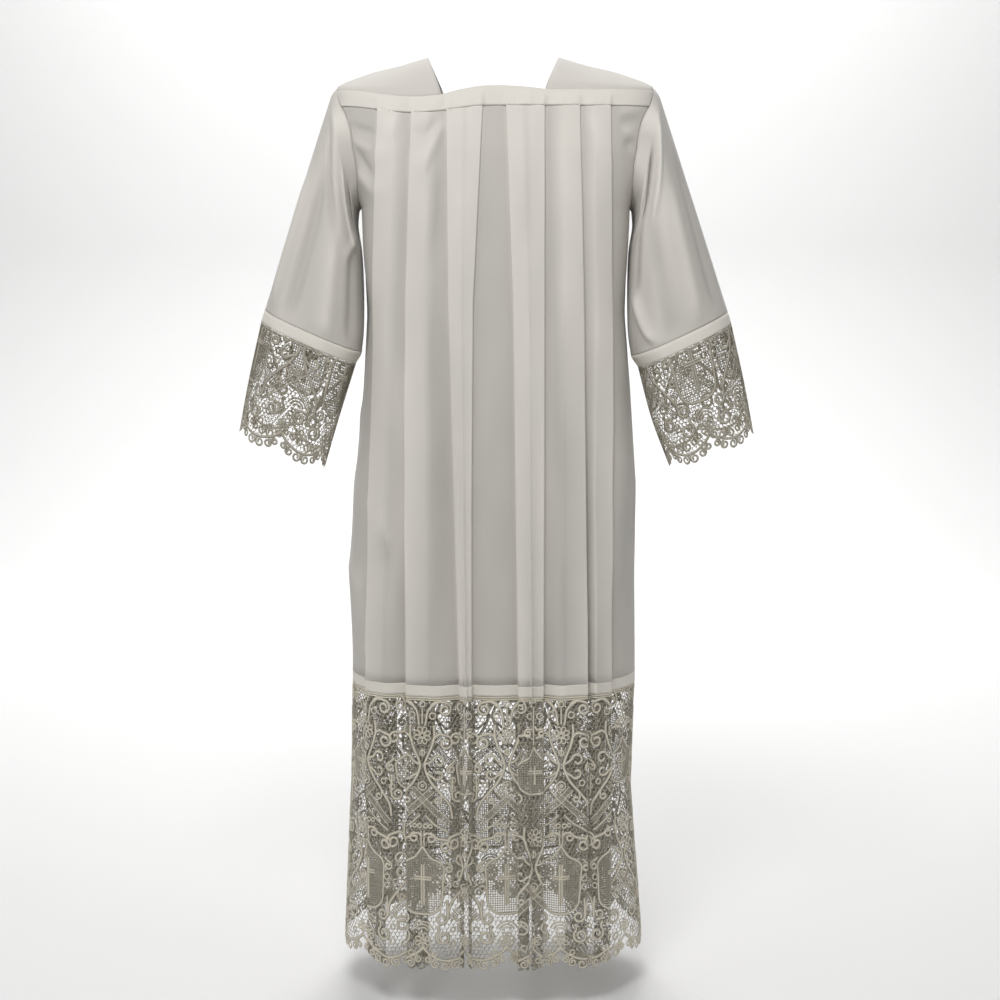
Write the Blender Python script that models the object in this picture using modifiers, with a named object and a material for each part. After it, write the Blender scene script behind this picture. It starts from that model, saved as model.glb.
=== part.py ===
"""A worn, pleated alb with a deep lace hem and lace cuffs, as hollow cloth walls.

Metres, +Z up. The front faces -Y. The origin lies midway between the shoulder straps, at the height
of their underside where they cross the shoulders beside the neck, which is where the garment is held up.
"""

import math
from collections import namedtuple

import bmesh
import bpy
import numpy as np
from mathutils import Vector
from mathutils.geometry import delaunay_2d_cdt

FRONT, BACK = -1, 1
LEFT, RIGHT = -1, 1  # towards -X and towards +X

CLOTH = 0.0012  # wall of one layer of cloth
DOUBLE = 0.0024  # wall of turned hems and of the lined yoke
LACE = 0.0014
SEAM = 0.0003
LEAN_ROOM = 0.0006  # more room at the yoke's foot, whose thick wall leans

YOKE_TOP = -0.055
YOKE_FOOT = -0.080
YOKE_SAG = 0.011  # the front yoke hangs this much lower across the wearer's right chest
NECK_RISE = 0.006  # the front neckline arches up this much between its corners
ARMHOLE_TOP = -0.044
ARMPIT = -0.238
ARMHOLE_DEEP = 0.088  # half the armhole, front to back
ARMHOLE_POWER = 2.4
SKIRT_HEM_TOP = -0.989
SKIRT_HEM_FOOT = -1.007
LACE_FOOT = -1.454
NECK_CORNER = 0.080
NECK_SIDE = 0.104
SHOULDER_TIP = 0.2475

Outline = namedtuple("Outline", "z left right front back power")
OUTLINE = (
    Outline(-0.036, 0.2430, 0.2490, 0.096, 0.094, 4.6),
    Outline(-0.080, 0.2500, 0.2560, 0.106, 0.104, 4.6),
    Outline(-0.146, 0.2360, 0.2420, 0.118, 0.114, 4.4),
    Outline(-0.238, 0.2120, 0.2180, 0.126, 0.120, 3.8),
    Outline(-0.406, 0.2050, 0.2130, 0.130, 0.126, 3.3),
    Outline(-0.526, 0.2120, 0.2230, 0.134, 0.132, 3.1),
    Outline(-0.686, 0.2280, 0.2340, 0.140, 0.140, 3.0),
    Outline(-0.816, 0.2370, 0.2330, 0.146, 0.148, 2.9),
    Outline(-1.007, 0.2330, 0.2330, 0.154, 0.158, 2.8),
    Outline(-1.176, 0.2370, 0.2280, 0.162, 0.166, 2.7),
    Outline(-1.454, 0.2510, 0.2500, 0.172, 0.178, 2.6),
)

# A folded edge looks towards -X or +X. Its place across the panel is given at four heights,
# and the tuck is how far the cloth runs back under it.
Pleat = namedtuple("Pleat", "name looks yoke waist knee hem tuck_yoke tuck_hem")
PLEAT_HEIGHTS = (YOKE_FOOT, -0.386, -0.713, SKIRT_HEM_FOOT)
PLEATS = {
    FRONT: (
        Pleat("a", LEFT, -0.1800, -0.1870, -0.1950, -0.1990, 0.026, 0.030),
        Pleat("b", LEFT, -0.1275, -0.1365, -0.1375, -0.1370, 0.024, 0.034),
        Pleat("c", LEFT, -0.0725, -0.0700, -0.0620, -0.0530, 0.022, 0.006),
        Pleat("middle_left", RIGHT, -0.0165, -0.0315, -0.0340, -0.0340, 0.020, 0.006),
        Pleat("middle_right", LEFT, 0.0200, 0.0310, 0.0350, 0.0390, 0.022, 0.018),
        Pleat("e", RIGHT, 0.0800, 0.0800, 0.0795, 0.0790, 0.022, 0.018),
        Pleat("f", RIGHT, 0.1345, 0.1405, 0.1455, 0.1480, 0.024, 0.034),
        Pleat("g", RIGHT, 0.1825, 0.1835, 0.1830, 0.1840, 0.024, 0.026),
    ),
    BACK: (
        Pleat("h", LEFT, -0.1790, -0.1840, -0.1880, -0.1930, 0.026, 0.030),
        Pleat("i", LEFT, -0.1290, -0.1330, -0.1360, -0.1340, 0.024, 0.032),
        Pleat("j", LEFT, -0.0740, -0.0760, -0.0780, -0.0760, 0.022, 0.018),
        Pleat("spine_left", RIGHT, -0.0190, -0.0270, -0.0350, -0.0330, 0.020, 0.012),
        Pleat("spine_right", LEFT, 0.0180, 0.0290, 0.0330, 0.0370, 0.022, 0.012),
        Pleat("k", RIGHT, 0.0760, 0.0750, 0.0790, 0.0780, 0.022, 0.018),
        Pleat("l", RIGHT, 0.1300, 0.1360, 0.1390, 0.1420, 0.024, 0.032),
        Pleat("m", RIGHT, 0.1800, 0.1830, 0.1860, 0.1850, 0.024, 0.024),
    ),
}
LAYER_YOKE, LAYER_HEM = 0.0024, 0.0062  # from one layer of a pleat to the next
RUN_OUT = 0.005  # the lower panel lies flat this far before the edge that covers it
PANEL_SWELL = 0.004  # a panel's middle stands this far out of a straight run at the hem
END_COLUMNS = 3

PANEL_HEIGHTS = (
    YOKE_FOOT, -0.121, -0.166, -0.203, -0.227, ARMPIT, -0.406, -0.726, SKIRT_HEM_TOP,
)
YOKE_OUT = 0.0024  # the yoke lies at the height of the pleats' middle layer

STRAP_LIFT = 0.0019  # a strap leans over the yoke's top edge, so its thick wall starts this far above
STRAP_ROWS = 7
STRAP_COLUMNS = 9
Ridge = namedtuple("Ridge", "part z")
RIDGE = (
    Ridge(0.00, -0.001), Ridge(0.35, -0.015), Ridge(0.62, -0.026), Ridge(0.90, -0.039),
    Ridge(1.00, -0.0465),
)

# The sleeve's silhouette seen from the front, from the armhole to the lace's edge.
Ring = namedtuple("Ring", "name outer_x outer_z inner_x inner_z forward deep")
SLEEVES = {
    LEFT: (
        Ring("cap", 0.2570, -0.0560, 0.2180, -0.2440, 0.000, 0.090),
        Ring("upper", 0.2720, -0.1010, 0.2195, -0.2710, 0.002, 0.090),
        Ring("biceps", 0.2930, -0.1660, 0.2165, -0.3110, 0.008, 0.090),
        Ring("elbow", 0.3220, -0.2580, 0.2135, -0.3690, 0.016, 0.090),
        Ring("low", 0.3510, -0.3490, 0.2135, -0.4290, 0.026, 0.088),
        Ring("hem_top", 0.3665, -0.3980, 0.2170, -0.4660, 0.032, 0.087),
        Ring("hem_foot", 0.3722, -0.4160, 0.2225, -0.4840, 0.034, 0.086),
        Ring("lace_middle", 0.3930, -0.5090, 0.2500, -0.5710, 0.044, 0.081),
        Ring("lace_foot", 0.4090, -0.5940, 0.2740, -0.6520, 0.052, 0.076),
    ),
    RIGHT: (
        Ring("cap", 0.2640, -0.0560, 0.2240, -0.2440, 0.000, 0.090),
        Ring("upper", 0.2790, -0.1010, 0.2255, -0.2710, 0.002, 0.090),
        Ring("biceps", 0.3000, -0.1660, 0.2225, -0.3110, 0.008, 0.090),
        Ring("elbow", 0.3300, -0.2580, 0.2205, -0.3720, 0.016, 0.090),
        Ring("low", 0.3600, -0.3510, 0.2215, -0.4340, 0.026, 0.088),
        Ring("hem_top", 0.3760, -0.4010, 0.2265, -0.4720, 0.032, 0.087),
        Ring("hem_foot", 0.3815, -0.4190, 0.2340, -0.4900, 0.034, 0.086),
        Ring("lace_middle", 0.4030, -0.5140, 0.2560, -0.5730, 0.044, 0.081),
        Ring("lace_foot", 0.4190, -0.5980, 0.2850, -0.6500, 0.052, 0.076),
    ),
}
SLEEVE_POWER = 2.3
CUFF_SET = 0.0008  # the cuff's lace starts this far below the sleeve's hem, which leans another way
ARMHOLE_SET = 0.0008  # the sleeve starts this far outside the armhole's edge

# Soft ridges down the sleeves: an angle round the sleeve (0 outside, 90 front) where each starts and
# ends, its height at the cap, at the elbow and at the hem, and its half width, in degrees and metres.
Fold = namedtuple("Fold", "start end cap elbow hem wide")
SLEEVE_FOLDS = {
    LEFT: (
        Fold(70, 150, 0.010, 0.003, 0.0, 20),
        Fold(35, 60, 0.002, 0.006, 0.004, 24),
        Fold(300, 215, 0.009, 0.005, 0.002, 24),
    ),
    RIGHT: (
        Fold(62, 112, 0.010, 0.008, 0.004, 18),
        Fold(105, 165, 0.008, 0.006, 0.0, 18),
        Fold(295, 220, 0.009, 0.005, 0.002, 24),
    ),
}

# The lace's repeat along the cut edge, and its largest openings in one repeat: the distance from the
# repeat's middle, the distance below the lace's top edge, and the opening's width and height.
REPEAT = 0.180
Gap = namedtuple("Gap", "name across down wide high")
GAPS = (
    Gap("heading", 0.000, 0.034, 0.013, 0.020),
    Gap("beside_flower", -0.037, 0.048, 0.012, 0.015),
    Gap("beside_flower", 0.037, 0.048, 0.012, 0.015),
    Gap("lyre_top", 0.000, 0.092, 0.013, 0.016),
    Gap("lyre_foot", 0.000, 0.132, 0.012, 0.014),
    Gap("beside_cross", -0.052, 0.130, 0.012, 0.018),
    Gap("beside_cross", 0.052, 0.130, 0.012, 0.018),
    Gap("ground", -0.030, 0.222, 0.013, 0.017),
    Gap("ground", 0.030, 0.222, 0.013, 0.017),
    Gap("beside_oval", -0.050, 0.316, 0.012, 0.017),
    Gap("beside_oval", 0.050, 0.316, 0.012, 0.017),
    Gap("foot_scroll", -0.053, 0.376, 0.012, 0.015),
    Gap("foot_scroll", 0.053, 0.376, 0.012, 0.015),
)
GAP_SIDES = 5
GAP_CLEAR = 0.003  # lace left between an opening and an edge
CORNER_CLEAR = 0.0004  # from an opening's corner to a line where the lace folds
SCALLOP = 0.090
SCALLOP_DEEP = 0.022
SCALLOP_STEPS = 3
LACE_HEIGHTS = (SKIRT_HEM_FOOT, -1.176)

# The cuffs' lace is the lower part of the same design.
CUFF_GAPS = (
    Gap("beside_oval", -0.050, 0.067, 0.012, 0.017),
    Gap("beside_oval", 0.050, 0.067, 0.012, 0.017),
    Gap("lyre_top", 0.090, 0.018, 0.013, 0.014),
    Gap("lyre_foot", 0.090, 0.050, 0.012, 0.014),
    Gap("foot_scroll", -0.053, 0.123, 0.012, 0.015),
    Gap("foot_scroll", 0.053, 0.123, 0.012, 0.015),
)

WHITE_CLOTH = (0.80, 0.79, 0.76)
ECRU_LACE = (0.62, 0.56, 0.44)


def read(table, heights, place):
    """The value of a short table's column at a place, between its rows."""
    return float(np.interp(place, heights, table))


def outline_at(column, z):
    heights = [-row.z for row in OUTLINE]
    return read([getattr(row, column) for row in OUTLINE], heights, -z)


def half_outline(side, z):
    """The front or back half of the body's outline at a height: its points and their distance along
    it, which is 0 at the middle and grows towards +X."""
    part = np.linspace(-1, 1, 401)
    angle = np.sign(part) * part ** 2 * math.pi / 2
    power = 2 / outline_at("power", z)
    wide = np.where(part < 0, outline_at("left", z), outline_at("right", z))
    deep = outline_at("front" if side == FRONT else "back", z)
    x = wide * np.sign(part) * np.abs(np.sin(angle)) ** power
    y = side * deep * np.abs(np.cos(angle)) ** power
    step = np.hypot(np.diff(x), np.diff(y))
    length = np.concatenate([[0], np.cumsum(step)])
    return x, y, length - length[len(part) // 2]


def on_outline(half, side, length, out):
    """The point this far along the half outline and this far outside it."""
    x, y, lengths = half
    reach = 0.002
    before = [np.interp(length - reach, lengths, v) for v in (x, y)]
    after = [np.interp(length + reach, lengths, v) for v in (x, y)]
    run = np.subtract(after, before)
    run = run / np.hypot(*run)
    return (
        np.interp(length, lengths, x) - side * run[1] * out,
        np.interp(length, lengths, y) + side * run[0] * out,
    )


def armhole_deep(z):
    """Half the armhole's width from front to back at a height, and 0 below it."""
    middle = (ARMHOLE_TOP + ARMPIT) / 2
    part = min(1.0, abs((z - middle) / (ARMHOLE_TOP - middle)))
    return ARMHOLE_DEEP * (1 - part ** ARMHOLE_POWER) ** (1 / ARMHOLE_POWER)


def panel_ends(half, z):
    """Where a body panel starts and ends along its half outline: at the side seams, or at the armholes."""
    x, y, lengths = half
    middle = len(x) // 2
    deep = armhole_deep(z) if z > ARMPIT else 0.0
    start = np.interp(deep, np.abs(y[: middle + 1]), lengths[: middle + 1])
    end = np.interp(-deep, -np.abs(y[middle:]), lengths[middle:])
    return start + SEAM / 2, end - SEAM / 2


def blend(top, foot, z):
    """A value that changes evenly from the yoke to the lower hem, and stays so below it."""
    return read([top, foot], [-YOKE_FOOT, -SKIRT_HEM_FOOT], -z)


def pleat_columns(pleat, half, z):
    """One fold's path, from left to right: the distance along the outline and out of it."""
    heights = [-value for value in PLEAT_HEIGHTS]
    place = read([pleat.yoke, pleat.waist, pleat.knee, pleat.hem], heights, -z)
    edge = np.interp(place, half[0], half[2])
    tuck = blend(pleat.tuck_yoke, pleat.tuck_hem, z)
    layer = blend(LAYER_YOKE, LAYER_HEM, z)
    bend = layer / 2
    path = [
        (-RUN_OUT, 0),
        (tuck, 0),
        (tuck, layer),
        (bend, layer),
        (0, 1.5 * layer),
        (bend, 2 * layer),
        (tuck, 2 * layer),
    ]
    if pleat.looks == RIGHT:
        path = [(-along, out) for along, out in reversed(path)]
    return [(edge + along, out) for along, out in path]


def panel_path(side, z):
    """The cloth's whole path across the front or the back at a height."""
    half = half_outline(side, z)
    start, end = panel_ends(half, z)
    path = [(start, 0.0)]
    pleats = PLEATS[side]
    swell = blend(0, PANEL_SWELL, z)
    for number, pleat in enumerate(pleats):
        columns = pleat_columns(pleat, half, z)
        steps = END_COLUMNS if number == 0 else 1
        last, following = path[-1], columns[0]
        for step in range(steps):
            part = (step + 1) / (steps + 1)
            out = last[1] + (following[1] - last[1]) * part
            lift = swell if number else 0.0
            path.append((last[0] + (following[0] - last[0]) * part, out + lift))
        path.extend(columns)
    last = path[-1]
    for step in range(END_COLUMNS):
        part = (step + 1) / (END_COLUMNS + 1)
        path.append((last[0] + (end - last[0]) * part, last[1] * (1 - part)))
    path.append((end, 0.0))
    return half, path


def panel_row(side, z):
    half, path = panel_path(side, z)
    return [Vector((*on_outline(half, side, along, out), z)) for along, out in path]


def material(name, colour, roughness):
    finish = bpy.data.materials.new(name)
    finish.use_nodes = True
    shader = finish.node_tree.nodes["Principled BSDF"]
    shader.inputs["Base Color"].default_value = (*colour, 1.0)
    shader.inputs["Roughness"].default_value = roughness
    shader.inputs["Metallic"].default_value = 0.0
    return finish


def garment_piece(name, mesh, wall, finish):
    """An object for one sewn piece, whose open surface gets the cloth's thickness."""
    mesh.materials.append(finish)
    mesh.shade_smooth()
    mesh.set_sharp_from_angle(angle=math.radians(50))
    piece = bpy.data.objects.new(name, mesh)
    bpy.data.collections["alb"].objects.link(piece)
    solid = piece.modifiers.new("cloth", "SOLIDIFY")
    solid.thickness = wall
    solid.offset = 0.0
    solid.use_even_offset = True
    solid.use_quality_normals = True
    return piece


def sheet_mesh(name, rows, closed=False):
    """A mesh from a grid whose points are moved onto rows of places. A closed one is a tube."""
    grid = bmesh.new()
    across = len(rows[0]) + (1 if closed else 0)
    bmesh.ops.create_grid(grid, x_segments=across - 1, y_segments=len(rows) - 1, size=0.5)
    places = sorted(grid.verts, key=lambda v: (round(-v.co.y, 5), round(v.co.x, 5)))
    for number, vertex in enumerate(places):
        row = rows[number // across]
        vertex.co = row[number % across % len(row)]
    if closed:
        bmesh.ops.remove_doubles(grid, verts=grid.verts, dist=0.00001)
        bmesh.ops.recalc_face_normals(grid, faces=grid.faces)
    mesh = bpy.data.meshes.new(name)
    grid.to_mesh(mesh)
    grid.free()
    return mesh


def clear_shift(places, columns):
    """The smallest move sideways that keeps every corner of an opening off the column lines."""
    for shift in sorted((step * 0.0004 for step in range(-6, 7)), key=abs):
        if min(abs(place + shift - column) for place in places for column in columns) > CORNER_CLEAR:
            return shift
    return 0.0


def lace_mesh(name, columns, rows, edge, openings, place):
    """A lace wall with its openings cut through. It is laid out flat, from column to column and from
    row to row, down to a shaped edge. Then place(across, down) puts each of its points on the garment."""
    points, lines, faces = [], [], []

    def add(point):
        points.append(Vector(point))
        return len(points) - 1

    foot = [add((x, -y)) for x, y in edge]
    lines += list(zip(foot, foot[1:]))
    uppers = [[add((x, -row)) for x in columns] for row in rows]
    for row in uppers:
        lines += list(zip(row, row[1:]))
    at_foot = {round(x, 6): index for index, (x, _) in zip(foot, edge)}
    for number, x in enumerate(columns):
        down = [row[number] for row in uppers] + [at_foot[round(x, 6)]]
        lines += list(zip(down, down[1:]))
    faces.append(foot + uppers[0][::-1])
    cut = 0
    edge_x, edge_y = [x for x, _ in edge], [y for _, y in edge]
    for gap in openings:
        left, right = gap.across - gap.wide / 2 - GAP_CLEAR, gap.across + gap.wide / 2 + GAP_CLEAR
        if left < columns[0] or right > columns[-1]:
            continue
        if gap.down + gap.high / 2 + GAP_CLEAR > min(np.interp([left, right], edge_x, edge_y)):
            continue
        turns = [2 * math.pi * (corner + 0.5) / GAP_SIDES for corner in range(GAP_SIDES)]
        corners = [(-gap.wide / 2 * math.sin(turn), gap.high / 2 * math.cos(turn)) for turn in turns]
        shift = clear_shift([gap.across + x for x, _ in corners], columns)
        faces.append([add((gap.across + shift + x, y - gap.down)) for x, y in corners])
        cut += 1
    flat, _, triangles, _, _, source = delaunay_2d_cdt(points, lines, faces, 1, 0.000001)
    work = bmesh.new()
    for point in flat:
        work.verts.new(place(point.x, -point.y))
    work.verts.ensure_lookup_table()
    for triangle, sources in zip(triangles, source):
        if sources and max(sources) == 0:
            work.faces.new([work.verts[index] for index in triangle])
    loose = [vertex for vertex in work.verts if not vertex.link_faces]
    bmesh.ops.delete(work, geom=loose, context="VERTS")
    mesh = bpy.data.meshes.new(name)
    work.to_mesh(mesh)
    work.free()
    return mesh, cut


def scalloped(columns, depth):
    """The lace's lower edge laid flat: scallops with a few points each, and a point at each column."""
    marks = set(round(x, 6) for x in columns)
    first, last = math.floor(columns[0] / SCALLOP), math.ceil(columns[-1] / SCALLOP)
    for number in range(first * SCALLOP_STEPS, last * SCALLOP_STEPS + 1):
        x = round(number * SCALLOP / SCALLOP_STEPS, 6)
        near = min(abs(x - column) for column in columns)
        if columns[0] < x < columns[-1] and near > 0.004:
            marks.add(x)

    def down(x):
        return depth - SCALLOP_DEEP * (1 - math.sin(math.pi * (x / SCALLOP % 1.0)) ** 0.8)

    return [(x, down(x)) for x in sorted(marks)]


def repeated(openings, phase, start, end):
    """The openings of every repeat of the lace, from where one repeat has its middle."""
    found = []
    for number in range(math.floor(start / REPEAT) - 1, math.ceil(end / REPEAT) + 2):
        for gap in openings:
            across = gap.across + phase + number * REPEAT
            if start < across < end:
                found.append(gap._replace(across=across))
    return found


def yoke_sag(side, x):
    """How far the yoke hangs below its level at a place across the front, where it's worn uneven."""
    if side == BACK or x > 0:
        return 0.0
    return -YOKE_SAG * math.sin(math.pi * min(1.0, -x / SHOULDER_TIP)) ** 2


def body_panel(side, name, finish):
    rows = [panel_row(side, z) for z in PANEL_HEIGHTS[:-1]]
    rows[0] = [point + Vector((0, 0, yoke_sag(side, point.x) - SEAM)) for point in rows[0]]
    rows.append([point + Vector((0, 0, SEAM)) for point in panel_row(side, SKIRT_HEM_TOP)])
    mesh = sheet_mesh(name, rows if side == FRONT else [row[::-1] for row in rows])
    return garment_piece(name, mesh, CLOTH, finish)


def skirt_hem(side, name, finish):
    rows = [panel_row(side, z) for z in (SKIRT_HEM_TOP, SKIRT_HEM_FOOT)]
    mesh = sheet_mesh(name, rows if side == FRONT else [row[::-1] for row in rows])
    return garment_piece(name, mesh, DOUBLE, finish)


def skirt_lace(side, name, finish):
    """The deep lace below the skirt's hem, on the same folds as the cloth above it."""
    upper = panel_row(side, SKIRT_HEM_FOOT)
    steps = [(b - a).length for a, b in zip(upper, upper[1:])]
    columns = [0.0]
    for step in steps:
        columns.append(columns[-1] + step)
    middle = columns[-1] / 2
    columns = [round(x - middle, 6) for x in columns]
    sections = {z: panel_row(side, z) for z in LACE_HEIGHTS + (LACE_FOOT,)}
    heights = sorted(sections, reverse=True)
    top = SKIRT_HEM_FOOT - SEAM

    def place(across, down):
        z = top - down
        upper_z, lower_z = next(pair for pair in zip(heights, heights[1:]) if z >= pair[1] - 1e-6)
        part = (upper_z - z) / (upper_z - lower_z)
        number = min(int(np.searchsorted(columns, across + 1e-9, side="right")) - 1, len(columns) - 2)
        number = max(number, 0)
        run = (across - columns[number]) / (columns[number + 1] - columns[number])
        rows = [sections[upper_z], sections[lower_z]]
        pair = [row[number].lerp(row[number + 1], run) for row in rows]
        spot = pair[0].lerp(pair[1], part)
        return Vector((spot.x, spot.y, z))

    edge = scalloped(columns, top - LACE_FOOT)
    rows = [0.0] + [top - z for z in LACE_HEIGHTS[1:]]
    openings = repeated(GAPS, 0.0, columns[0], columns[-1])
    mesh, cut = lace_mesh(name, columns, rows, edge, openings, place)
    if side == BACK:
        mesh.flip_normals()
    print(name, "openings", cut, "cut width", round(columns[-1] - columns[0], 4))
    return garment_piece(name, mesh, LACE, finish)


def yoke_line(side, x):
    """The height of the yoke's top edge, which arches up across the neck."""
    part = min(1.0, abs(x) / NECK_CORNER)
    rise = NECK_RISE if side == FRONT else NECK_RISE / 2
    return YOKE_TOP + rise * (1 - part ** 2) + yoke_sag(side, x)


def yoke_band(side, name, finish):
    upper, lower = half_outline(side, YOKE_TOP), half_outline(side, YOKE_FOOT)
    ends = panel_ends(upper, YOKE_TOP), panel_ends(lower, YOKE_FOOT)
    rows = [[], []]
    count = 25
    for number in range(count):
        part = number / (count - 1)
        for row, half, (start, end), foot in zip(rows, (upper, lower), ends, (False, True)):
            x, y = on_outline(half, side, start + (end - start) * part, YOKE_OUT)
            z = YOKE_FOOT + yoke_sag(side, x) + LEAN_ROOM if foot else yoke_line(side, x)
            row.append(Vector((x, y, z)))
    mesh = sheet_mesh(name, rows if side == FRONT else [row[::-1] for row in rows])
    return garment_piece(name, mesh, DOUBLE, finish)


def strap_edge(side, hand, across):
    """The point on the yoke's top seam, this part of the way from the neck's corner to the armhole."""
    half = half_outline(side, YOKE_TOP)
    ends = panel_ends(half, YOKE_TOP)
    corner = np.interp(hand * NECK_CORNER, half[0], half[2])
    length = corner + (ends[0 if hand == LEFT else 1] - corner) * across
    x, y = on_outline(half, side, length, YOKE_OUT)
    return Vector((x, y, YOKE_TOP + yoke_sag(side, x)))


def strap_point(hand, across, over):
    """A point of the shoulder strap: across from neck to sleeve, and over the shoulder, front to back."""
    front, back = strap_edge(FRONT, hand, across), strap_edge(BACK, hand, across)
    ridge = read([row.z for row in RIDGE], [row.part for row in RIDGE], across)
    tip = SHOULDER_TIP + (0.006 if hand == RIGHT else 0)
    crest_x = hand * (NECK_SIDE + (tip - NECK_SIDE) * across)
    part = 2 * over - 1
    arch = 1 - part ** 2
    base = front.lerp(back, over)
    z = base.z + (ridge - base.z) * arch
    return Vector((base.x + (crest_x - base.x) * arch, base.y, z))


def shoulder_strap(hand, name, finish):
    rows = []
    for row in range(STRAP_ROWS):
        across = row / (STRAP_ROWS - 1)
        places = [strap_point(hand, across, n / (STRAP_COLUMNS - 1)) for n in range(STRAP_COLUMNS)]
        lift = Vector((0, 0, STRAP_LIFT))
        rows.append([place + lift for place in places])
    mesh = sheet_mesh(name, rows if hand == LEFT else rows[::-1])
    return garment_piece(name, mesh, DOUBLE, finish)


def armhole(hand):
    """The armhole's edge as a ring: over the strap from the crest to the front, down the front panel,
    up the back panel and back to the crest."""
    arch = [strap_point(hand, 1.0, n / (STRAP_COLUMNS - 1)) for n in range(STRAP_COLUMNS)]
    crest = STRAP_COLUMNS // 2
    sides = {}
    for side in (FRONT, BACK):
        sides[side] = []
        for z in PANEL_HEIGHTS[: PANEL_HEIGHTS.index(ARMPIT)]:
            half = half_outline(side, z)
            end = panel_ends(half, z)[0 if hand == LEFT else 1]
            sides[side].append(Vector((*on_outline(half, side, end, 0.0), z)))
    half = half_outline(FRONT, ARMPIT)
    end = half[0][0 if hand == LEFT else -1]
    pit = Vector((end, 0, ARMPIT))
    return arch[crest::-1] + sides[FRONT] + [pit] + sides[BACK][::-1] + arch[:crest:-1]


def ring_frame(hand, ring):
    outer = Vector((hand * ring.outer_x, -ring.forward, ring.outer_z))
    inner = Vector((hand * ring.inner_x, -ring.forward, ring.inner_z))
    return (outer + inner) / 2, (outer - inner) / 2


def sleeve_fold(hand, degrees, part):
    """How far the sleeve's ridges stand out at an angle, from 0 at the cap to 1 at the hem."""
    out = 0.0
    for fold in SLEEVE_FOLDS[hand]:
        middle = fold.start + (fold.end - fold.start) * part
        apart = (degrees - middle + 180) % 360 - 180
        height = read([fold.cap, fold.elbow, fold.hem], [0.0, 0.5, 1.0], part)
        out += height * math.exp(-((apart / fold.wide) ** 2))
    return out


def sleeve_point(hand, ring, degrees, part):
    centre, across = ring_frame(hand, ring)
    turn = math.radians(degrees)
    power = 2 / SLEEVE_POWER
    wide = math.copysign(abs(math.cos(turn)) ** power, math.cos(turn))
    deep = math.copysign(abs(math.sin(turn)) ** power, math.sin(turn))
    spot = centre + across * wide + Vector((0, -ring.deep * deep, 0))
    away = spot - centre
    return spot + away.normalized() * sleeve_fold(hand, degrees, part)


def sleeve_angles(hand):
    """The angle round the sleeve of each point of the armhole, so that lines run straight down it."""
    ring = armhole(hand)
    centre = (ring[0] + ring[len(ring) // 2]) / 2
    reach = (ring[0] - ring[len(ring) // 2]) / 2
    found = []
    for point in ring:
        away = point - centre
        turn = math.atan2(-away.y / ARMHOLE_DEEP, away.dot(reach) / reach.length_squared)
        found.append(math.degrees(turn) % 360)
    return found


def sleeve(hand, name, finish):
    ring = armhole(hand)
    centre = (ring[0] + ring[len(ring) // 2]) / 2
    angles = sleeve_angles(hand)
    inset = 0.0010
    start = []
    for point in ring:
        away = Vector((0, point.y - centre.y, point.z - centre.z))
        start.append(point - away.normalized() * inset + Vector((hand * ARMHOLE_SET, 0, 0)))
    bend = [point + Vector((hand * 0.006, 0, 0)) for point in start]
    rows = [start, bend]
    table = SLEEVES[hand]
    for number in range(6):
        rows.append([sleeve_point(hand, table[number], a, number / 5) for a in angles])
    rows[-1] = [b + (a - b).normalized() * SEAM for a, b in zip(rows[-2], rows[-1])]
    mesh = sheet_mesh(name, rows if hand == RIGHT else [row[::-1] for row in rows], closed=True)
    return garment_piece(name, mesh, CLOTH, finish)


def sleeve_hem(hand, name, finish):
    table = SLEEVES[hand]
    angles = sleeve_angles(hand)
    rows = [[sleeve_point(hand, ring, a, 1.0) for a in angles] for ring in table[5:7]]
    mesh = sheet_mesh(name, rows if hand == RIGHT else [row[::-1] for row in rows], closed=True)
    return garment_piece(name, mesh, DOUBLE, finish)


def cuff_lace(hand, side, name, finish):
    """Half of a cuff's lace, from the sleeve's outer line to its inner one."""
    table = SLEEVES[hand][6:]
    ring = sleeve_angles(hand)
    half = len(ring) // 2
    angles = ring[: half + 1] if side == FRONT else [360 + ring[0]] + ring[: half - 1 : -1]

    def on_ring(ring, degrees):
        return sleeve_point(hand, ring, degrees, 1.0)

    top = [on_ring(table[0], a) for a in angles]
    columns = [0.0]
    for a, b in zip(top, top[1:]):
        columns.append(columns[-1] + (b - a).length)
    middle = columns[-1] / 2
    columns = [round(x - middle, 6) for x in columns]
    drops = [0.0]
    for upper, lower in zip(table, table[1:]):
        drops.append(drops[-1] + (ring_frame(hand, lower)[0] - ring_frame(hand, upper)[0]).length)
    trim = SEAM / 2 / (columns[-1] - columns[0])

    def place(across, down):
        down = down + CUFF_SET
        number = 0 if down <= drops[1] else 1
        part = (down - drops[number]) / (drops[number + 1] - drops[number])
        slot = min(int(np.searchsorted(columns, across + 1e-9, side="right")) - 1, len(columns) - 2)
        slot = max(slot, 0)
        run = (across - columns[slot]) / (columns[slot + 1] - columns[slot])
        run = min(max(run, trim * 12 if slot == 0 else 0.0), 1.0)
        if slot == len(columns) - 2:
            run = min(run, 1 - trim * 12)
        pair = []
        for ring in (table[number], table[number + 1]):
            pair.append(on_ring(ring, angles[slot]).lerp(on_ring(ring, angles[slot + 1]), run))
        return pair[0].lerp(pair[1], part)

    edge = scalloped(columns, drops[-1] - CUFF_SET)
    rows = [0.0, drops[1]]
    phase = REPEAT / 2 if (hand == LEFT) == (side == FRONT) else 0.0
    openings = repeated(CUFF_GAPS, phase, columns[0], columns[-1])
    mesh, cut = lace_mesh(name, columns, rows, edge, openings, place)
    if (hand == LEFT) == (side == FRONT):
        mesh.flip_normals()
    print(name, "openings", cut, "cut width", round(columns[-1] - columns[0], 4))
    return garment_piece(name, mesh, LACE, finish)


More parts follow.
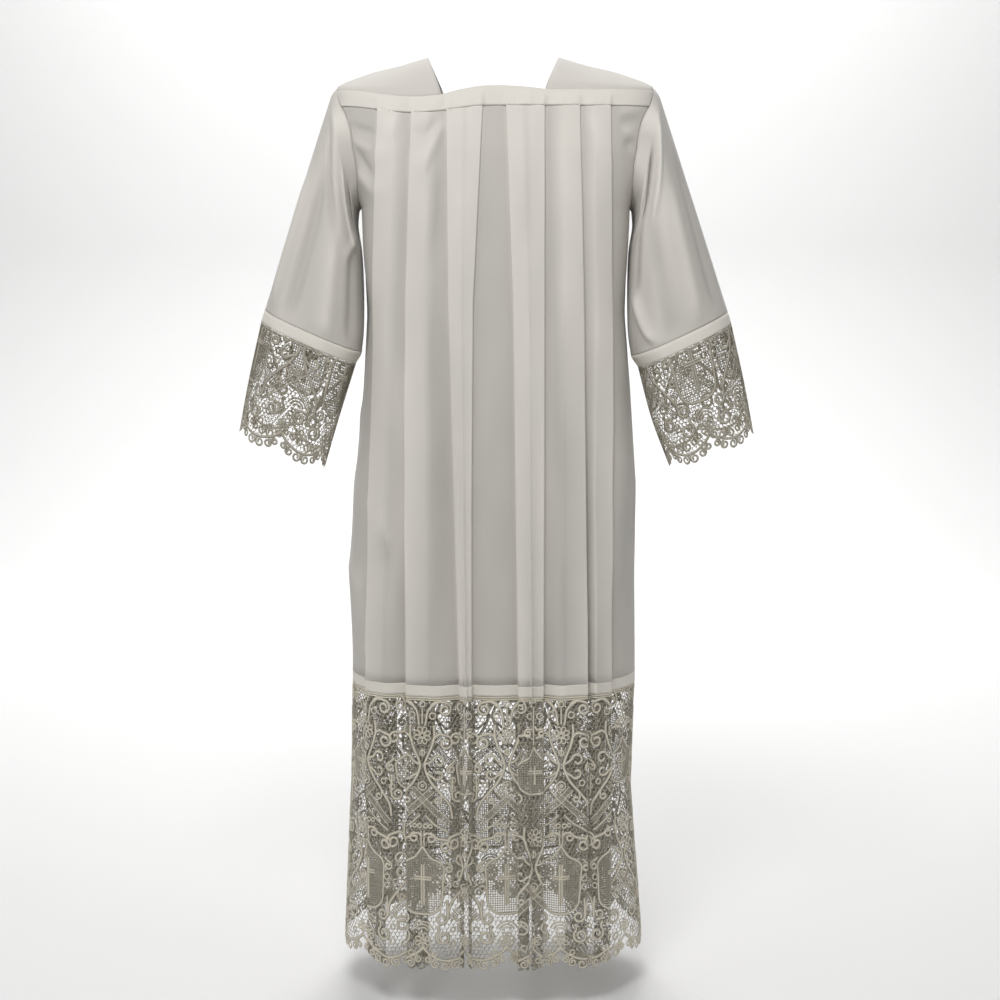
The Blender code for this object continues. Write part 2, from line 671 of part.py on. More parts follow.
def build():
    for thing in list(bpy.data.objects):
        bpy.data.objects.remove(thing, do_unlink=True)
    collection = bpy.data.collections.new("alb")
    bpy.context.scene.collection.children.link(collection)
    cloth = material("white_cloth", WHITE_CLOTH, 0.85)
    lace = material("ecru_lace", ECRU_LACE, 0.9)
    for side, word in ((FRONT, "front"), (BACK, "back")):
        body_panel(side, word + "_panel", cloth)
        yoke_band(side, word + "_yoke", cloth)
        skirt_hem(side, word + "_skirt_hem", cloth)
        skirt_lace(side, word + "_hem_lace", lace)
    for hand, word in ((LEFT, "right"), (RIGHT, "left")):
        shoulder_strap(hand, word + "_shoulder", cloth)
        sleeve(hand, word + "_sleeve", cloth)
        sleeve_hem(hand, word + "_sleeve_hem", cloth)
        for side, place in ((FRONT, "front"), (BACK, "back")):
            cuff_lace(hand, side, word + "_cuff_lace_" + place, lace)


build()
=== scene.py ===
# %% [markdown]
# # A pleated alb with a deep lace hem
#
# An alb is a long white robe. This one hangs from two shoulder straps and a yoke, falls in pressed
# pleats, and ends in bands of ecru tape lace at its hem and its cuffs. Each piece of cloth is made
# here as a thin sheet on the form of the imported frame. The frame comes first, because every piece
# takes its place from it.

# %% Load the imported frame
import math
from collections import namedtuple

import bmesh
import bpy
import numpy as np
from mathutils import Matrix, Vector


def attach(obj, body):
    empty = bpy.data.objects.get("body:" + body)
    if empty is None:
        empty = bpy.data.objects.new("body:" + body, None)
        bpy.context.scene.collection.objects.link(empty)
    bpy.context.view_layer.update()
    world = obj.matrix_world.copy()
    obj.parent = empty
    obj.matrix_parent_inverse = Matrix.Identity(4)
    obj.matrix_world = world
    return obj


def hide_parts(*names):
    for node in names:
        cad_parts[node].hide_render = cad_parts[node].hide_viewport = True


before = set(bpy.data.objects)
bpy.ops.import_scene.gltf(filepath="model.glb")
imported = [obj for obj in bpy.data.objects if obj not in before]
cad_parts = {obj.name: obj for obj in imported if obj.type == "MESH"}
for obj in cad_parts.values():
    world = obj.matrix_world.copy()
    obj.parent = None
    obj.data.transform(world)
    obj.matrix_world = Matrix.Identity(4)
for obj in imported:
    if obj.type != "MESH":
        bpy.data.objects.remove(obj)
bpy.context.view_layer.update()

# %% [markdown]
# ## Camera, floor and light
#
# The camera stands 3.25 m in front of the chest and looks a little down, as it did for the
# photograph. A floor that sweeps up behind into a wall gives a plain pale ground without a
# horizon line. It is one strip of a grid, bent along a quarter circle.

# %% Camera
CAMERA_AWAY = 3.25
CAMERA_PLACE = Vector((0.0106, -CAMERA_AWAY, -0.276))
CAMERA_AIM = Vector((0.0106, 0.0, -0.713))
HALF_SEEN = 0.817  # half of what the picture takes in, at the garment's distance


def add_object(name, data):
    """A new object in the scene that shows this data."""
    thing = bpy.data.objects.new(name, data)
    bpy.context.scene.collection.objects.link(thing)
    return thing


camera = add_object("camera", bpy.data.cameras.new("camera"))
bpy.context.scene.camera = camera
camera.location = CAMERA_PLACE
camera.rotation_euler = (CAMERA_AIM - CAMERA_PLACE).to_track_quat("-Z", "Y").to_euler()
camera.data.angle = 2 * math.atan(HALF_SEEN / CAMERA_AWAY)
print("view angle", round(math.degrees(camera.data.angle), 2))

# %% Floor that sweeps up into a wall
FLOOR = -1.52
FLOOR_FRONT, FLOOR_WIDE = -7.0, 16
SWEEP = 1.2  # the quarter circle's radius
WALL_AT, WALL_TOP = 4.6, 5.0


def sweep_line(count):
    """The floor's section from front to back: level, a quarter circle, then upright."""
    line = [(FLOOR_FRONT, FLOOR), (WALL_AT - SWEEP, FLOOR)]
    for turn in np.linspace(0, math.pi / 2, count)[1:]:
        line.append((WALL_AT - SWEEP + SWEEP * math.sin(turn), FLOOR + SWEEP * (1 - math.cos(turn))))
    return [*line, (WALL_AT, WALL_TOP)]


def sweep_mesh():
    line = sweep_line(24)
    work = bmesh.new()
    bmesh.ops.create_grid(work, x_segments=1, y_segments=len(line) - 1, size=0.5)
    for vertex in work.verts:
        y, z = line[round((vertex.co.y + 0.5) * (len(line) - 1))]
        vertex.co = (vertex.co.x * FLOOR_WIDE, y, z)
    mesh = bpy.data.meshes.new("studio_floor")
    work.to_mesh(mesh)
    work.free()
    mesh.shade_smooth()
    return mesh


floor = add_object("studio_floor", sweep_mesh())
floor_paint = bpy.data.materials.new("pale_floor")
floor_paint.use_nodes = True
floor_shader = floor_paint.node_tree.nodes["Principled BSDF"]
floor_shader.inputs["Base Color"].default_value = (0.86, 0.86, 0.86, 1.0)
floor_shader.inputs["Roughness"].default_value = 0.9
floor.data.materials.append(floor_paint)
print("floor at", FLOOR)

# %% [markdown]
# White cloth is lit almost from the front, by one wide lamp above it and a weaker one on each
# side. Their size keeps the shadows of the pleats soft, and a pale world fills the rest. A fourth
# lamp stands behind the garment and lights only the wall, which is nearly white.

# %% Lamps and world
WORLD_TONE, WORLD_POWER = (1.0, 0.99, 0.97, 1.0), 0.24
Lamp = namedtuple("Lamp", "name place aim power wide")
LAMPS = (
    Lamp("front_lamp", (-0.3, -1.9, 1.5), (0.0, 0.0, -0.25), 40.5, 1.0),
    Lamp("left_lamp", (-3.2, -1.6, 0.3), (0.0, 0.0, -0.7), 7.0, 1.6),
    Lamp("right_lamp", (3.2, -1.2, 0.3), (0.0, 0.0, -0.7), 3.0, 1.6),
    Lamp("back_lamp", (0.0, 3.0, 2.9), (0.0, 4.0, -1.2), 180.0, 2.6),
)
for row in LAMPS:
    lamp = add_object(row.name, bpy.data.lights.new(row.name, "AREA"))
    lamp.data.energy = row.power
    lamp.data.size = row.wide
    lamp.location = row.place
    lamp.rotation_euler = (Vector(row.aim) - Vector(row.place)).to_track_quat("-Z", "Y").to_euler()
world = bpy.data.worlds.new("pale_world")
bpy.context.scene.world = world
world.use_nodes = True
world.node_tree.nodes["Background"].inputs["Color"].default_value = WORLD_TONE
world.node_tree.nodes["Background"].inputs["Strength"].default_value = WORLD_POWER
bpy.context.scene.view_settings.view_transform = "Standard"
print("lamps", [row.name for row in LAMPS])

# %% [markdown]
# ## The garment's measures
#
# The sheets follow the same sections as the frame's solids: the body is a rounded outline at each
# height, and the pleats are a path along that outline. Sizes are in metres. The origin lies
# between the shoulder straps.

# %% Sizes of the body
FRONT, BACK = -1, 1
LEFT, RIGHT = -1, 1  # towards -X, the wearer's right, and towards +X
SIDES = ((FRONT, "front"), (BACK, "back"))
HANDS = ((LEFT, "right"), (RIGHT, "left"))  # pieces are named for the wearer's own hands
SEAM = 0.0003
YOKE_TOP = -0.055
YOKE_FOOT = -0.080
YOKE_SAG = 0.011
NECK_RISE = 0.006
ARMHOLE_TOP = -0.044
ARMPIT = -0.238
ARMHOLE_DEEP = 0.088
ARMHOLE_POWER = 2.4
SKIRT_HEM_TOP = -0.989
SKIRT_HEM_FOOT = -1.007
LACE_FOOT = -1.454
NECK_CORNER = 0.080
NECK_SIDE = 0.104
SHOULDER_TIP = 0.2475

Outline = namedtuple("Outline", "z left right front back power")
OUTLINE = [Outline(*row) for row in (
    (-0.036, 0.2430, 0.2490, 0.096, 0.094, 4.6),
    (-0.080, 0.2500, 0.2560, 0.106, 0.104, 4.6),
    (-0.146, 0.2360, 0.2420, 0.118, 0.114, 4.4),
    (-0.238, 0.2120, 0.2180, 0.126, 0.120, 3.8),
    (-0.406, 0.2050, 0.2130, 0.130, 0.126, 3.3),
    (-0.526, 0.2120, 0.2230, 0.134, 0.132, 3.1),
    (-0.686, 0.2280, 0.2340, 0.140, 0.140, 3.0),
    (-0.816, 0.2370, 0.2330, 0.146, 0.148, 2.9),
    (-1.007, 0.2330, 0.2330, 0.154, 0.158, 2.8),
    (-1.176, 0.2370, 0.2280, 0.162, 0.166, 2.7),
    (-1.454, 0.2510, 0.2500, 0.172, 0.178, 2.6),
)]
print("body outline rows", len(OUTLINE))

# %% Lengths and the outline at a height
def lengths_along(line):
    """How far along a line of places each one lies."""
    return np.concatenate([[0], np.cumsum(np.linalg.norm(np.diff(line, axis=0), axis=1))])


def eased(part):
    """From 0 to 1 with a soft start and a soft end."""
    return part * part * (3 - 2 * part)


def outline_at(column, z):
    heights = [-row.z for row in OUTLINE]
    return float(np.interp(-z, heights, [getattr(row, column) for row in OUTLINE]))


def half_outline(side, z):
    """The front or back half of the outline at a height, and the distance along it from its middle."""
    part = np.linspace(-1, 1, 401)
    angle = np.sign(part) * part ** 2 * math.pi / 2
    power = 2 / outline_at("power", z)
    wide = np.where(part < 0, outline_at("left", z), outline_at("right", z))
    deep = outline_at("front" if side == FRONT else "back", z)
    x = wide * np.sign(part) * np.abs(np.sin(angle)) ** power
    y = side * deep * np.abs(np.cos(angle)) ** power
    length = lengths_along(np.stack([x, y], axis=1))
    return x, y, length - length[len(part) // 2]


def on_outline(half, side, length, out):
    """The points this far along the half outline and this far outside it."""
    x, y, lengths = half
    reach = 0.002
    run_x = np.interp(length + reach, lengths, x) - np.interp(length - reach, lengths, x)
    run_y = np.interp(length + reach, lengths, y) - np.interp(length - reach, lengths, y)
    run = np.hypot(run_x, run_y)
    return (
        np.interp(length, lengths, x) - side * run_y / run * out,
        np.interp(length, lengths, y) + side * run_x / run * out,
    )


print("half outline at the chest", round(2 * half_outline(FRONT, -0.2)[2][-1], 3), "m")

# %% Where the armholes end the panels
def armhole_deep(z):
    """Half the armhole's width from front to back at a height."""
    middle = (ARMHOLE_TOP + ARMPIT) / 2
    part = min(1.0, abs((z - middle) / (ARMHOLE_TOP - middle)))
    return ARMHOLE_DEEP * (1 - part ** ARMHOLE_POWER) ** (1 / ARMHOLE_POWER)


def panel_ends(half, z):
    """Where a body panel starts and ends along its half outline."""
    x, y, lengths = half
    middle = len(x) // 2
    deep = armhole_deep(z) if z > ARMPIT else 0.0
    start = np.interp(deep, np.abs(y[: middle + 1]), lengths[: middle + 1])
    end = np.interp(-deep, -np.abs(y[middle:]), lengths[middle:])
    return start + SEAM / 2, end - SEAM / 2


def yoke_sag(side, x):
    """How far the front yoke hangs below its level, because it's worn uneven."""
    if side == BACK:
        return 0.0 * x
    part = np.clip(-x / SHOULDER_TIP, 0.0, 1.0)
    return -YOKE_SAG * np.sin(math.pi * part) ** 2


print("armhole is", round(ARMHOLE_TOP - ARMPIT, 3), "m high")

# %% [markdown]
# A pleat is a fold that is sewn down at the yoke and pressed down to the hem. Its edge runs from a
# place on the yoke to a place on the hem, and the cloth turns back under it by the tuck. The table
# gives each edge at four heights, so that the pleats lean and spread as they do on the wearer.

# %% Sizes of the pleats
Pleat = namedtuple("Pleat", "name looks yoke waist knee hem tuck_yoke tuck_hem")
PLEAT_HEIGHTS = (YOKE_FOOT, -0.386, -0.713, SKIRT_HEM_FOOT)
PLEATS = {
    FRONT: [Pleat(*row) for row in (
        ("a", LEFT, -0.1800, -0.1870, -0.1950, -0.1990, 0.026, 0.030),
        ("b", LEFT, -0.1275, -0.1365, -0.1375, -0.1370, 0.024, 0.034),
        ("c", LEFT, -0.0725, -0.0700, -0.0620, -0.0530, 0.022, 0.006),
        ("middle_left", RIGHT, -0.0165, -0.0315, -0.0340, -0.0340, 0.020, 0.006),
        ("middle_right", LEFT, 0.0200, 0.0310, 0.0350, 0.0390, 0.022, 0.018),
        ("e", RIGHT, 0.0800, 0.0800, 0.0795, 0.0790, 0.022, 0.018),
        ("f", RIGHT, 0.1345, 0.1405, 0.1455, 0.1480, 0.024, 0.034),
        ("g", RIGHT, 0.1825, 0.1835, 0.1830, 0.1840, 0.024, 0.026),
    )],
    BACK: [Pleat(*row) for row in (
        ("h", LEFT, -0.1790, -0.1840, -0.1880, -0.1930, 0.026, 0.030),
        ("i", LEFT, -0.1290, -0.1330, -0.1360, -0.1340, 0.024, 0.032),
        ("j", LEFT, -0.0740, -0.0760, -0.0780, -0.0760, 0.022, 0.018),
        ("spine_left", RIGHT, -0.0190, -0.0270, -0.0350, -0.0330, 0.020, 0.012),
        ("spine_right", LEFT, 0.0180, 0.0290, 0.0330, 0.0370, 0.022, 0.012),
        ("k", RIGHT, 0.0760, 0.0750, 0.0790, 0.0780, 0.022, 0.018),
        ("l", RIGHT, 0.1300, 0.1360, 0.1390, 0.1420, 0.024, 0.032),
        ("m", RIGHT, 0.1800, 0.1830, 0.1860, 0.1850, 0.024, 0.024),
    )],
}
print("pleats", {word: len(PLEATS[side]) for side, word in SIDES})

# %% A pleat's fold
LAYER_YOKE, LAYER_HEM = 0.0024, 0.0062  # from one layer of a fold to the next
RUN_OUT = 0.005  # how far before its edge a pleat starts to rise
PANEL_SWELL = 0.004
RUN_COLUMNS = 17  # columns of the grid across each flat stretch between two folds
INNER_COLUMNS, OUTER_COLUMNS = 5, 7  # columns round the hidden fold and round the pleat's edge


def blend(top, foot, z):
    """A value that changes evenly from the yoke to the lower hem, and stays so below it."""
    return float(np.interp(-z, [-YOKE_FOOT, -SKIRT_HEM_FOOT], [top, foot]))


def fold_path(tuck, layer):
    """One fold across the cloth: along the cloth below it, round the hidden fold and back, round the
    pleat's edge at 0, and along its top. Each point is a distance along and a distance out."""
    radius = layer / 2
    path = [(-RUN_OUT, 0.0), (0.4 * tuck, 0.0)]
    for turn in np.radians(np.linspace(-90, 90, INNER_COLUMNS)):
        path.append((tuck - radius + radius * math.cos(turn), radius + radius * math.sin(turn)))
    for turn in np.radians(np.linspace(270, 90, OUTER_COLUMNS)):
        path.append((radius + radius * math.cos(turn), 3 * radius + radius * math.sin(turn)))
    path.append((tuck, 2 * layer))
    return path


print("points across a fold", len(fold_path(0.02, LAYER_YOKE)))

# %% The cloth's path across a panel
def pleat_edge(pleat, half, z):
    """How far along the half outline a pleat's edge lies at a height."""
    depths = [-value for value in PLEAT_HEIGHTS]
    place = np.interp(-z, depths, [pleat.yoke, pleat.waist, pleat.knee, pleat.hem])
    return float(np.interp(place, half[0], half[2]))


def panel_path(side, z):
    """The cloth's whole path across the front or the back at a height, finely divided."""
    half = half_outline(side, z)
    start, end = panel_ends(half, z)
    swell = blend(0, PANEL_SWELL, z)
    run_parts = np.linspace(0, 1, RUN_COLUMNS + 2)[1:-1]
    along, out = [start], [0.0]
    for number, pleat in enumerate(PLEATS[side]):
        edge = pleat_edge(pleat, half, z)
        path = fold_path(blend(pleat.tuck_yoke, pleat.tuck_hem, z), blend(LAYER_YOKE, LAYER_HEM, z))
        if pleat.looks == RIGHT:
            path = [(-step, rise) for step, rise in reversed(path)]
        from_along, from_out = along[-1], out[-1]
        to_along, to_out = edge + path[0][0], path[0][1]
        for part in run_parts:
            lift = swell * math.sin(math.pi * part) if number else 0.0
            along.append(from_along + (to_along - from_along) * part)
            out.append(from_out + (to_out - from_out) * eased(part) + lift)
        along.extend(edge + step for step, _ in path)
        out.extend(rise for _, rise in path)
    from_along, from_out = along[-1], out[-1]
    for part in [*run_parts, 1.0]:
        along.append(from_along + (end - from_along) * part)
        out.append(from_out * (1 - eased(part)))
    return half, np.array(along), np.array(out)


print("columns across the front", len(panel_path(FRONT, -0.5)[1]))

# %% Painted shade where the cloth lies single
# How far past its tuck a pleat is kept free of the painted shade of single cloth.
BACKED_YOKE, BACKED_HEM = 0.034, 0.010  # how far past its tuck a pleat still looks white
EDGE_ROUND = 0.0015


def painted_single_shade(side, z):
    """Painted shade where the cloth lies single at a height, as less light comes back: 0 over a tuck.
    """
    half, along, _ = panel_path(side, z)
    backed = np.zeros_like(along)
    for pleat in PLEATS[side]:
        inwards = (along - pleat_edge(pleat, half, z)) * (1 if pleat.looks == LEFT else -1)
        tuck = blend(pleat.tuck_yoke, pleat.tuck_hem, z)
        reach = blend(BACKED_YOKE, BACKED_HEM, z)
        fade = np.clip((tuck + reach - inwards) / (0.5 * tuck + reach), 0, 1)
        backed = np.maximum(backed, np.where(inwards > -EDGE_ROUND, eased(fade), 0))
    return 1 - backed


print("single share at the waist", round(float(painted_single_shade(FRONT, -0.5).mean()), 2))

# %% [markdown]
# ## Creases
#
# Pressed cloth that has been put on isn't flat between its pleats. Soft troughs pull from the
# armholes and the yoke, and the skirt crumples a little low on one side. Each crease is one row of
# a table: where it starts and ends across and down the garment, its half width, and how far it
# stands out or in. A simulation would move the pressed edges too, so these are listed one by one.

# %% Creases of the body
Crease = namedtuple("Crease", "x_start z_start x_end z_end wide out")
CREASES = {
    FRONT: [Crease(*row) for row in (
        (-0.238, -0.112, -0.186, -0.122, 0.006, -0.0022),
        (-0.234, -0.128, -0.190, -0.150, 0.006, 0.0020),
        (-0.230, -0.140, -0.192, -0.186, 0.007, -0.0026),
        (-0.222, -0.176, -0.188, -0.214, 0.008, 0.0022),
        (-0.152, -0.088, -0.184, -0.165, 0.008, 0.0020),
        (-0.078, -0.098, -0.122, -0.192, 0.009, 0.0024),
        (-0.092, -0.100, -0.128, -0.150, 0.007, -0.0016),
        (-0.084, -0.190, -0.100, -0.330, 0.012, -0.0014),
        (0.198, -0.086, 0.250, -0.080, 0.006, 0.0018),
        (0.200, -0.102, 0.248, -0.108, 0.006, -0.0024),
        (0.204, -0.118, 0.246, -0.134, 0.007, 0.0020),
        (0.206, -0.136, 0.240, -0.162, 0.007, -0.0022),
        (0.150, -0.096, 0.176, -0.190, 0.010, 0.0014),
        (0.060, -0.110, 0.046, -0.300, 0.014, -0.0012),
        (0.104, -0.140, 0.112, -0.420, 0.016, 0.0012),
        (-0.196, -0.700, -0.166, -0.764, 0.010, 0.0024),
        (-0.190, -0.720, -0.172, -0.800, 0.009, -0.0020),
        (-0.226, -0.812, -0.198, -0.940, 0.013, 0.0030),
        (-0.212, -0.836, -0.206, -0.930, 0.010, -0.0022),
        (-0.162, -0.420, -0.158, -0.900, 0.018, 0.0018),
        (-0.100, -0.380, -0.092, -0.960, 0.020, -0.0020),
        (0.056, -0.420, 0.058, -0.980, 0.018, 0.0016),
        (0.110, -0.500, 0.116, -0.980, 0.020, -0.0020),
        (0.166, -0.360, 0.170, -0.900, 0.018, 0.0020),
        (0.216, -0.380, 0.220, -0.840, 0.016, -0.0024),
        (-0.214, -0.330, -0.216, -0.640, 0.014, -0.0024),
    )],
    BACK: [Crease(*row) for row in (
        (-0.236, -0.110, -0.190, -0.126, 0.006, -0.0022),
        (-0.232, -0.132, -0.192, -0.160, 0.007, 0.0022),
        (-0.226, -0.160, -0.186, -0.206, 0.008, -0.0022),
        (-0.140, -0.096, -0.166, -0.180, 0.009, 0.0018),
        (-0.052, -0.100, -0.060, -0.260, 0.014, -0.0014),
        (0.050, -0.094, 0.060, -0.230, 0.012, 0.0014),
        (0.196, -0.100, 0.244, -0.104, 0.006, -0.0022),
        (0.200, -0.120, 0.240, -0.144, 0.007, 0.0022),
        (0.198, -0.150, 0.230, -0.200, 0.008, -0.0020),
        (-0.160, -0.380, -0.164, -0.880, 0.018, -0.0020),
        (-0.104, -0.400, -0.100, -0.950, 0.020, 0.0018),
        (-0.054, -0.440, -0.056, -0.900, 0.016, -0.0016),
        (0.058, -0.420, 0.060, -0.960, 0.018, 0.0018),
        (0.108, -0.380, 0.112, -0.900, 0.018, -0.0018),
        (0.162, -0.420, 0.168, -0.960, 0.018, 0.0020),
        (0.196, -0.740, 0.218, -0.820, 0.011, 0.0024),
        (0.204, -0.800, 0.214, -0.900, 0.011, -0.0022),
        (-0.212, -0.560, -0.208, -0.700, 0.012, 0.0022),
    )],
}
print("creases", {word: len(CREASES[side]) for side, word in SIDES})

# %% How the creases move the cloth
RIPPLE = 0.0007  # a faint unevenness of the whole cloth
# Painted light on crease ridges and painted shade in their troughs, for each metre the cloth stands
# out or in.
RIDGE_PAINTED_LIGHT = 65.0  # how much less thin the cloth looks for each metre that a ridge stands out
CREASE_BOLD = 2.2  # all creases together are this much deeper than the table
SEWN_EDGE = 0.014  # creases fade out this far from a panel's sides
SEWN_TOP = 0.030  # and this far below the yoke
SAG_FOOT = -0.146  # the yoke's sag has gone from the pleats down here


def crease_height(rows, x, z):
    """How far the creases push the cloth out at places across and down it."""
    total = np.zeros_like(x)
    for row in rows:
        start = np.array([row.x_start, row.z_start])
        run = np.array([row.x_end, row.z_end]) - start
        length = np.hypot(*run)
        part = ((x - start[0]) * run[0] + (z - start[1]) * run[1]) / length ** 2
        bow = 0.04 * length * np.sin(math.pi * np.clip(part, 0, 1))
        away = ((x - start[0]) * run[1] - (z - start[1]) * run[0]) / length + bow
        ends = np.clip(np.minimum(part + 0.15, 1.15 - part) / 0.35, 0.0, 1.0)
        total += CREASE_BOLD * row.out * eased(ends) * np.exp(-((away / row.wide) ** 2))
    broad = np.sin(41 * x + 13 * z + 1.3) * np.sin(23 * z - 17 * x)
    narrow = np.sin(97 * x + 9) * np.sin(31 * z)
    return total + RIPPLE * (broad + 0.6 * narrow)


def panel_places(side, heights):
    """The places of the cloth's points at a list of heights, creased."""
    rows = []
    for z in heights:
        half, along, out = panel_path(side, z)
        x, _ = on_outline(half, side, along, out)
        free = np.clip(np.minimum(along - along[0], along[-1] - along) / SEWN_EDGE, 0.0, 1.0)
        free = free * min(1.0, max(0.0, (YOKE_FOOT - 0.002 - z) / SEWN_TOP))
        creased = out + free * crease_height(CREASES[side], x, np.full_like(x, z))
        x, y = on_outline(half, side, along, creased)
        sag = yoke_sag(side, x) * float(np.interp(-z, [-YOKE_FOOT, -SAG_FOOT], [1.0, 0.0]))
        rows.append(np.stack([x, y, z + sag], axis=1))
    return np.array(rows)


print("panel points at the waist", panel_places(FRONT, [-0.5]).shape)

# %% [markdown]
# ## From places to a sheet
#
# A sheet starts as a flat grid, whose points then move onto the rows of places. Its UV map holds
# the cut's own metres, so that a weave follows the cloth round every fold. A value at each point,
# thin, says how much painted shade darkens the cloth there. Solidify gives it the cloth's
# thickness to both sides.

# %% The flat cut and a mesh's values
def cut_metres(places):
    """The flat cut's own distances, across and down, for each place."""
    across = np.linalg.norm(np.diff(places, axis=1), axis=2)
    across = np.concatenate([np.zeros((len(places), 1)), np.cumsum(across, axis=1)], axis=1)
    down = np.linalg.norm(np.diff(places, axis=0), axis=2).mean(axis=1)
    down = np.concatenate([[0], np.cumsum(down)])
    down = np.repeat(-down[:, None], places.shape[1], axis=1)
    return np.stack([across - across[:, -1:] / 2, down], axis=2)


def mesh_places(mesh):
    """The places of a mesh's points, one row each."""
    flat = np.empty(len(mesh.vertices) * 3, np.float32)
    mesh.vertices.foreach_get("co", flat)
    return flat.reshape(-1, 3)


def keep_cut(mesh, cut, thin):
    """Keeps each point's place on the flat cut as a UV map, and the painted shade that darkens the
    cloth there.
    """
    corner = np.empty(len(mesh.loops), np.int32)
    mesh.loops.foreach_get("vertex_index", corner)
    mesh.uv_layers.new(name="cut").data.foreach_set("uv", cut[corner].astype(np.float32).ravel())
    values = np.array(thin, np.float32)
    mesh.attributes.new("thin", "FLOAT", "POINT").data.foreach_set("value", values)


print("a sheet keeps its flat cut and how thin it looks")

# %% A sheet from rows of places
SAME_POINT = 0.00002


def sheet_mesh(name, places, closed=False, thin=0.0):
    """A grid whose points are moved onto rows of places. A closed one is a tube. Painted_shade is the
    painted shade at each place, 1 where the cloth lies single."""
    thin = np.broadcast_to(thin, places.shape[:2])
    if closed:
        places = np.concatenate([places, places[:, :1]], axis=1)
        thin = np.concatenate([thin, thin[:, :1]], axis=1)
    rows, columns = places.shape[:2]
    work = bmesh.new()
    bmesh.ops.create_grid(work, x_segments=columns - 1, y_segments=rows - 1, size=0.5)
    mesh = bpy.data.meshes.new(name)
    work.to_mesh(mesh)
    work.free()
    flat = mesh_places(mesh)
    order = np.lexsort((flat[:, 0].round(5), -flat[:, 1].round(5)))
    rank = np.argsort(order)  # each point's number in the rows of places
    moved = places.reshape(-1, 3)[rank]
    mesh.vertices.foreach_set("co", moved.astype(np.float32).ravel())
    keep_cut(mesh, cut_metres(places).reshape(-1, 2)[rank], thin.ravel()[rank])
    if closed:
        work = bmesh.new()
        work.from_mesh(mesh)
        bmesh.ops.remove_doubles(work, verts=work.verts, dist=SAME_POINT)
        work.to_mesh(mesh)
        work.free()
    mesh.update()
    mesh.shade_smooth()
    return mesh


print("sheets start as grids")

# %% Pieces and what they are cut from
def garment_piece(name, mesh, finish, nodes, wall=0.0):
    """A finished piece that rides with the garment and stands for its solids."""
    mesh.materials.append(finish)
    piece = add_object(name, mesh)
    if wall:
        solid = piece.modifiers.new("cloth", "SOLIDIFY")
        solid.thickness = wall
        solid.offset = 0.0
        solid.use_quality_normals = True
    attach(piece, "root")
    if nodes:
        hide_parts(*nodes)
    return piece


print("pieces ride with the garment")

# %% Rows and the way out of them
def outward(places, towards_minus_y):
    """The same rows, turned so that the sheet's face looks outwards."""
    return places if towards_minus_y else places[:, ::-1]


def grid_normals(places):
    across = np.gradient(places, axis=1)
    down = np.gradient(places, axis=0)
    normals = np.cross(down, across)
    return normals / np.linalg.norm(normals, axis=2, keepdims=True)


def row_across(grid, part):
    """One line across a grid, this part of the way down it."""
    place = part * (len(grid) - 1)
    upper = min(int(place), len(grid) - 2)
    return grid[upper] * (upper + 1 - place) + grid[upper + 1] * (place - upper)


print("rows can be turned outwards")

# %% [markdown]
# ## White cloth
#
# The cloth is a plain weave of fine white threads, matt, with a faint sheen where it turns away
# from the light. Thread by thread it is far finer than the picture, so the weave is a small bump
# in the cut's own metres, with thicker threads here and there, and the colour drifts a little
# over a hand's breadth. Every finish uses the same weave, so it is a node group. A single layer
# lets more light through than a pleat does and looks greyer, so shade is painted in: the colour
# is multiplied by a darker tone where the value thin says so. The same value paints shade
# into the troughs of creases and onto the lace's edges and backs.

# %% Helpers for nodes
def new_group(name, inputs, outputs):
    """A shader node group with its sockets: number inputs with their defaults, then outputs."""
    group = bpy.data.node_groups.new(name, "ShaderNodeTree")
    group.interface.new_socket("Place", in_out="INPUT", socket_type="NodeSocketVector")
    for label, value in inputs:
        socket = group.interface.new_socket(label, in_out="INPUT", socket_type="NodeSocketFloat")
        socket.default_value = value
    for label in outputs:
        group.interface.new_socket(label, in_out="OUTPUT", socket_type="NodeSocketFloat")
    return group, group.nodes.new("NodeGroupInput"), group.nodes.new("NodeGroupOutput")


def fill(tree, slots, values):
    """Gives input sockets their values, or links them from other sockets."""
    for key, value in values.items():
        if isinstance(value, bpy.types.NodeSocket):
            tree.links.new(value, slots[key])
        else:
            slots[key].default_value = value


def add_node(tree, kind, values, **settings):
    """A node with its settings, then its input sockets filled."""
    node = tree.nodes.new(kind)
    for name, value in settings.items():
        setattr(node, name, value)
    fill(tree, node.inputs, values)
    return node


def math_node(tree, operation, first, second):
    """A math node between two sockets or numbers."""
    return add_node(tree, "ShaderNodeMath", {0: first, 1: second}, operation=operation).outputs[0]


print("nodes are added with their values")

# %% A node group for woven thread
THREAD = 0.0005  # from one thread to the next
THREAD_HIGH = 0.0002


def thread_waves(group, place, direction, pitch):
    """Parallel threads along one direction. At a scale of 1 a wave repeats every tau / 20."""
    values = {"Vector": place, "Scale": math.tau / (20 * pitch), "Distortion": 0.0}
    return add_node(group, "ShaderNodeTexWave", values, bands_direction=direction).outputs["Fac"]


def noise_node(group, place, scale, detail):
    values = {"Vector": place, "Scale": scale, "Detail": detail}
    return add_node(group, "ShaderNodeTexNoise", values).outputs["Fac"]


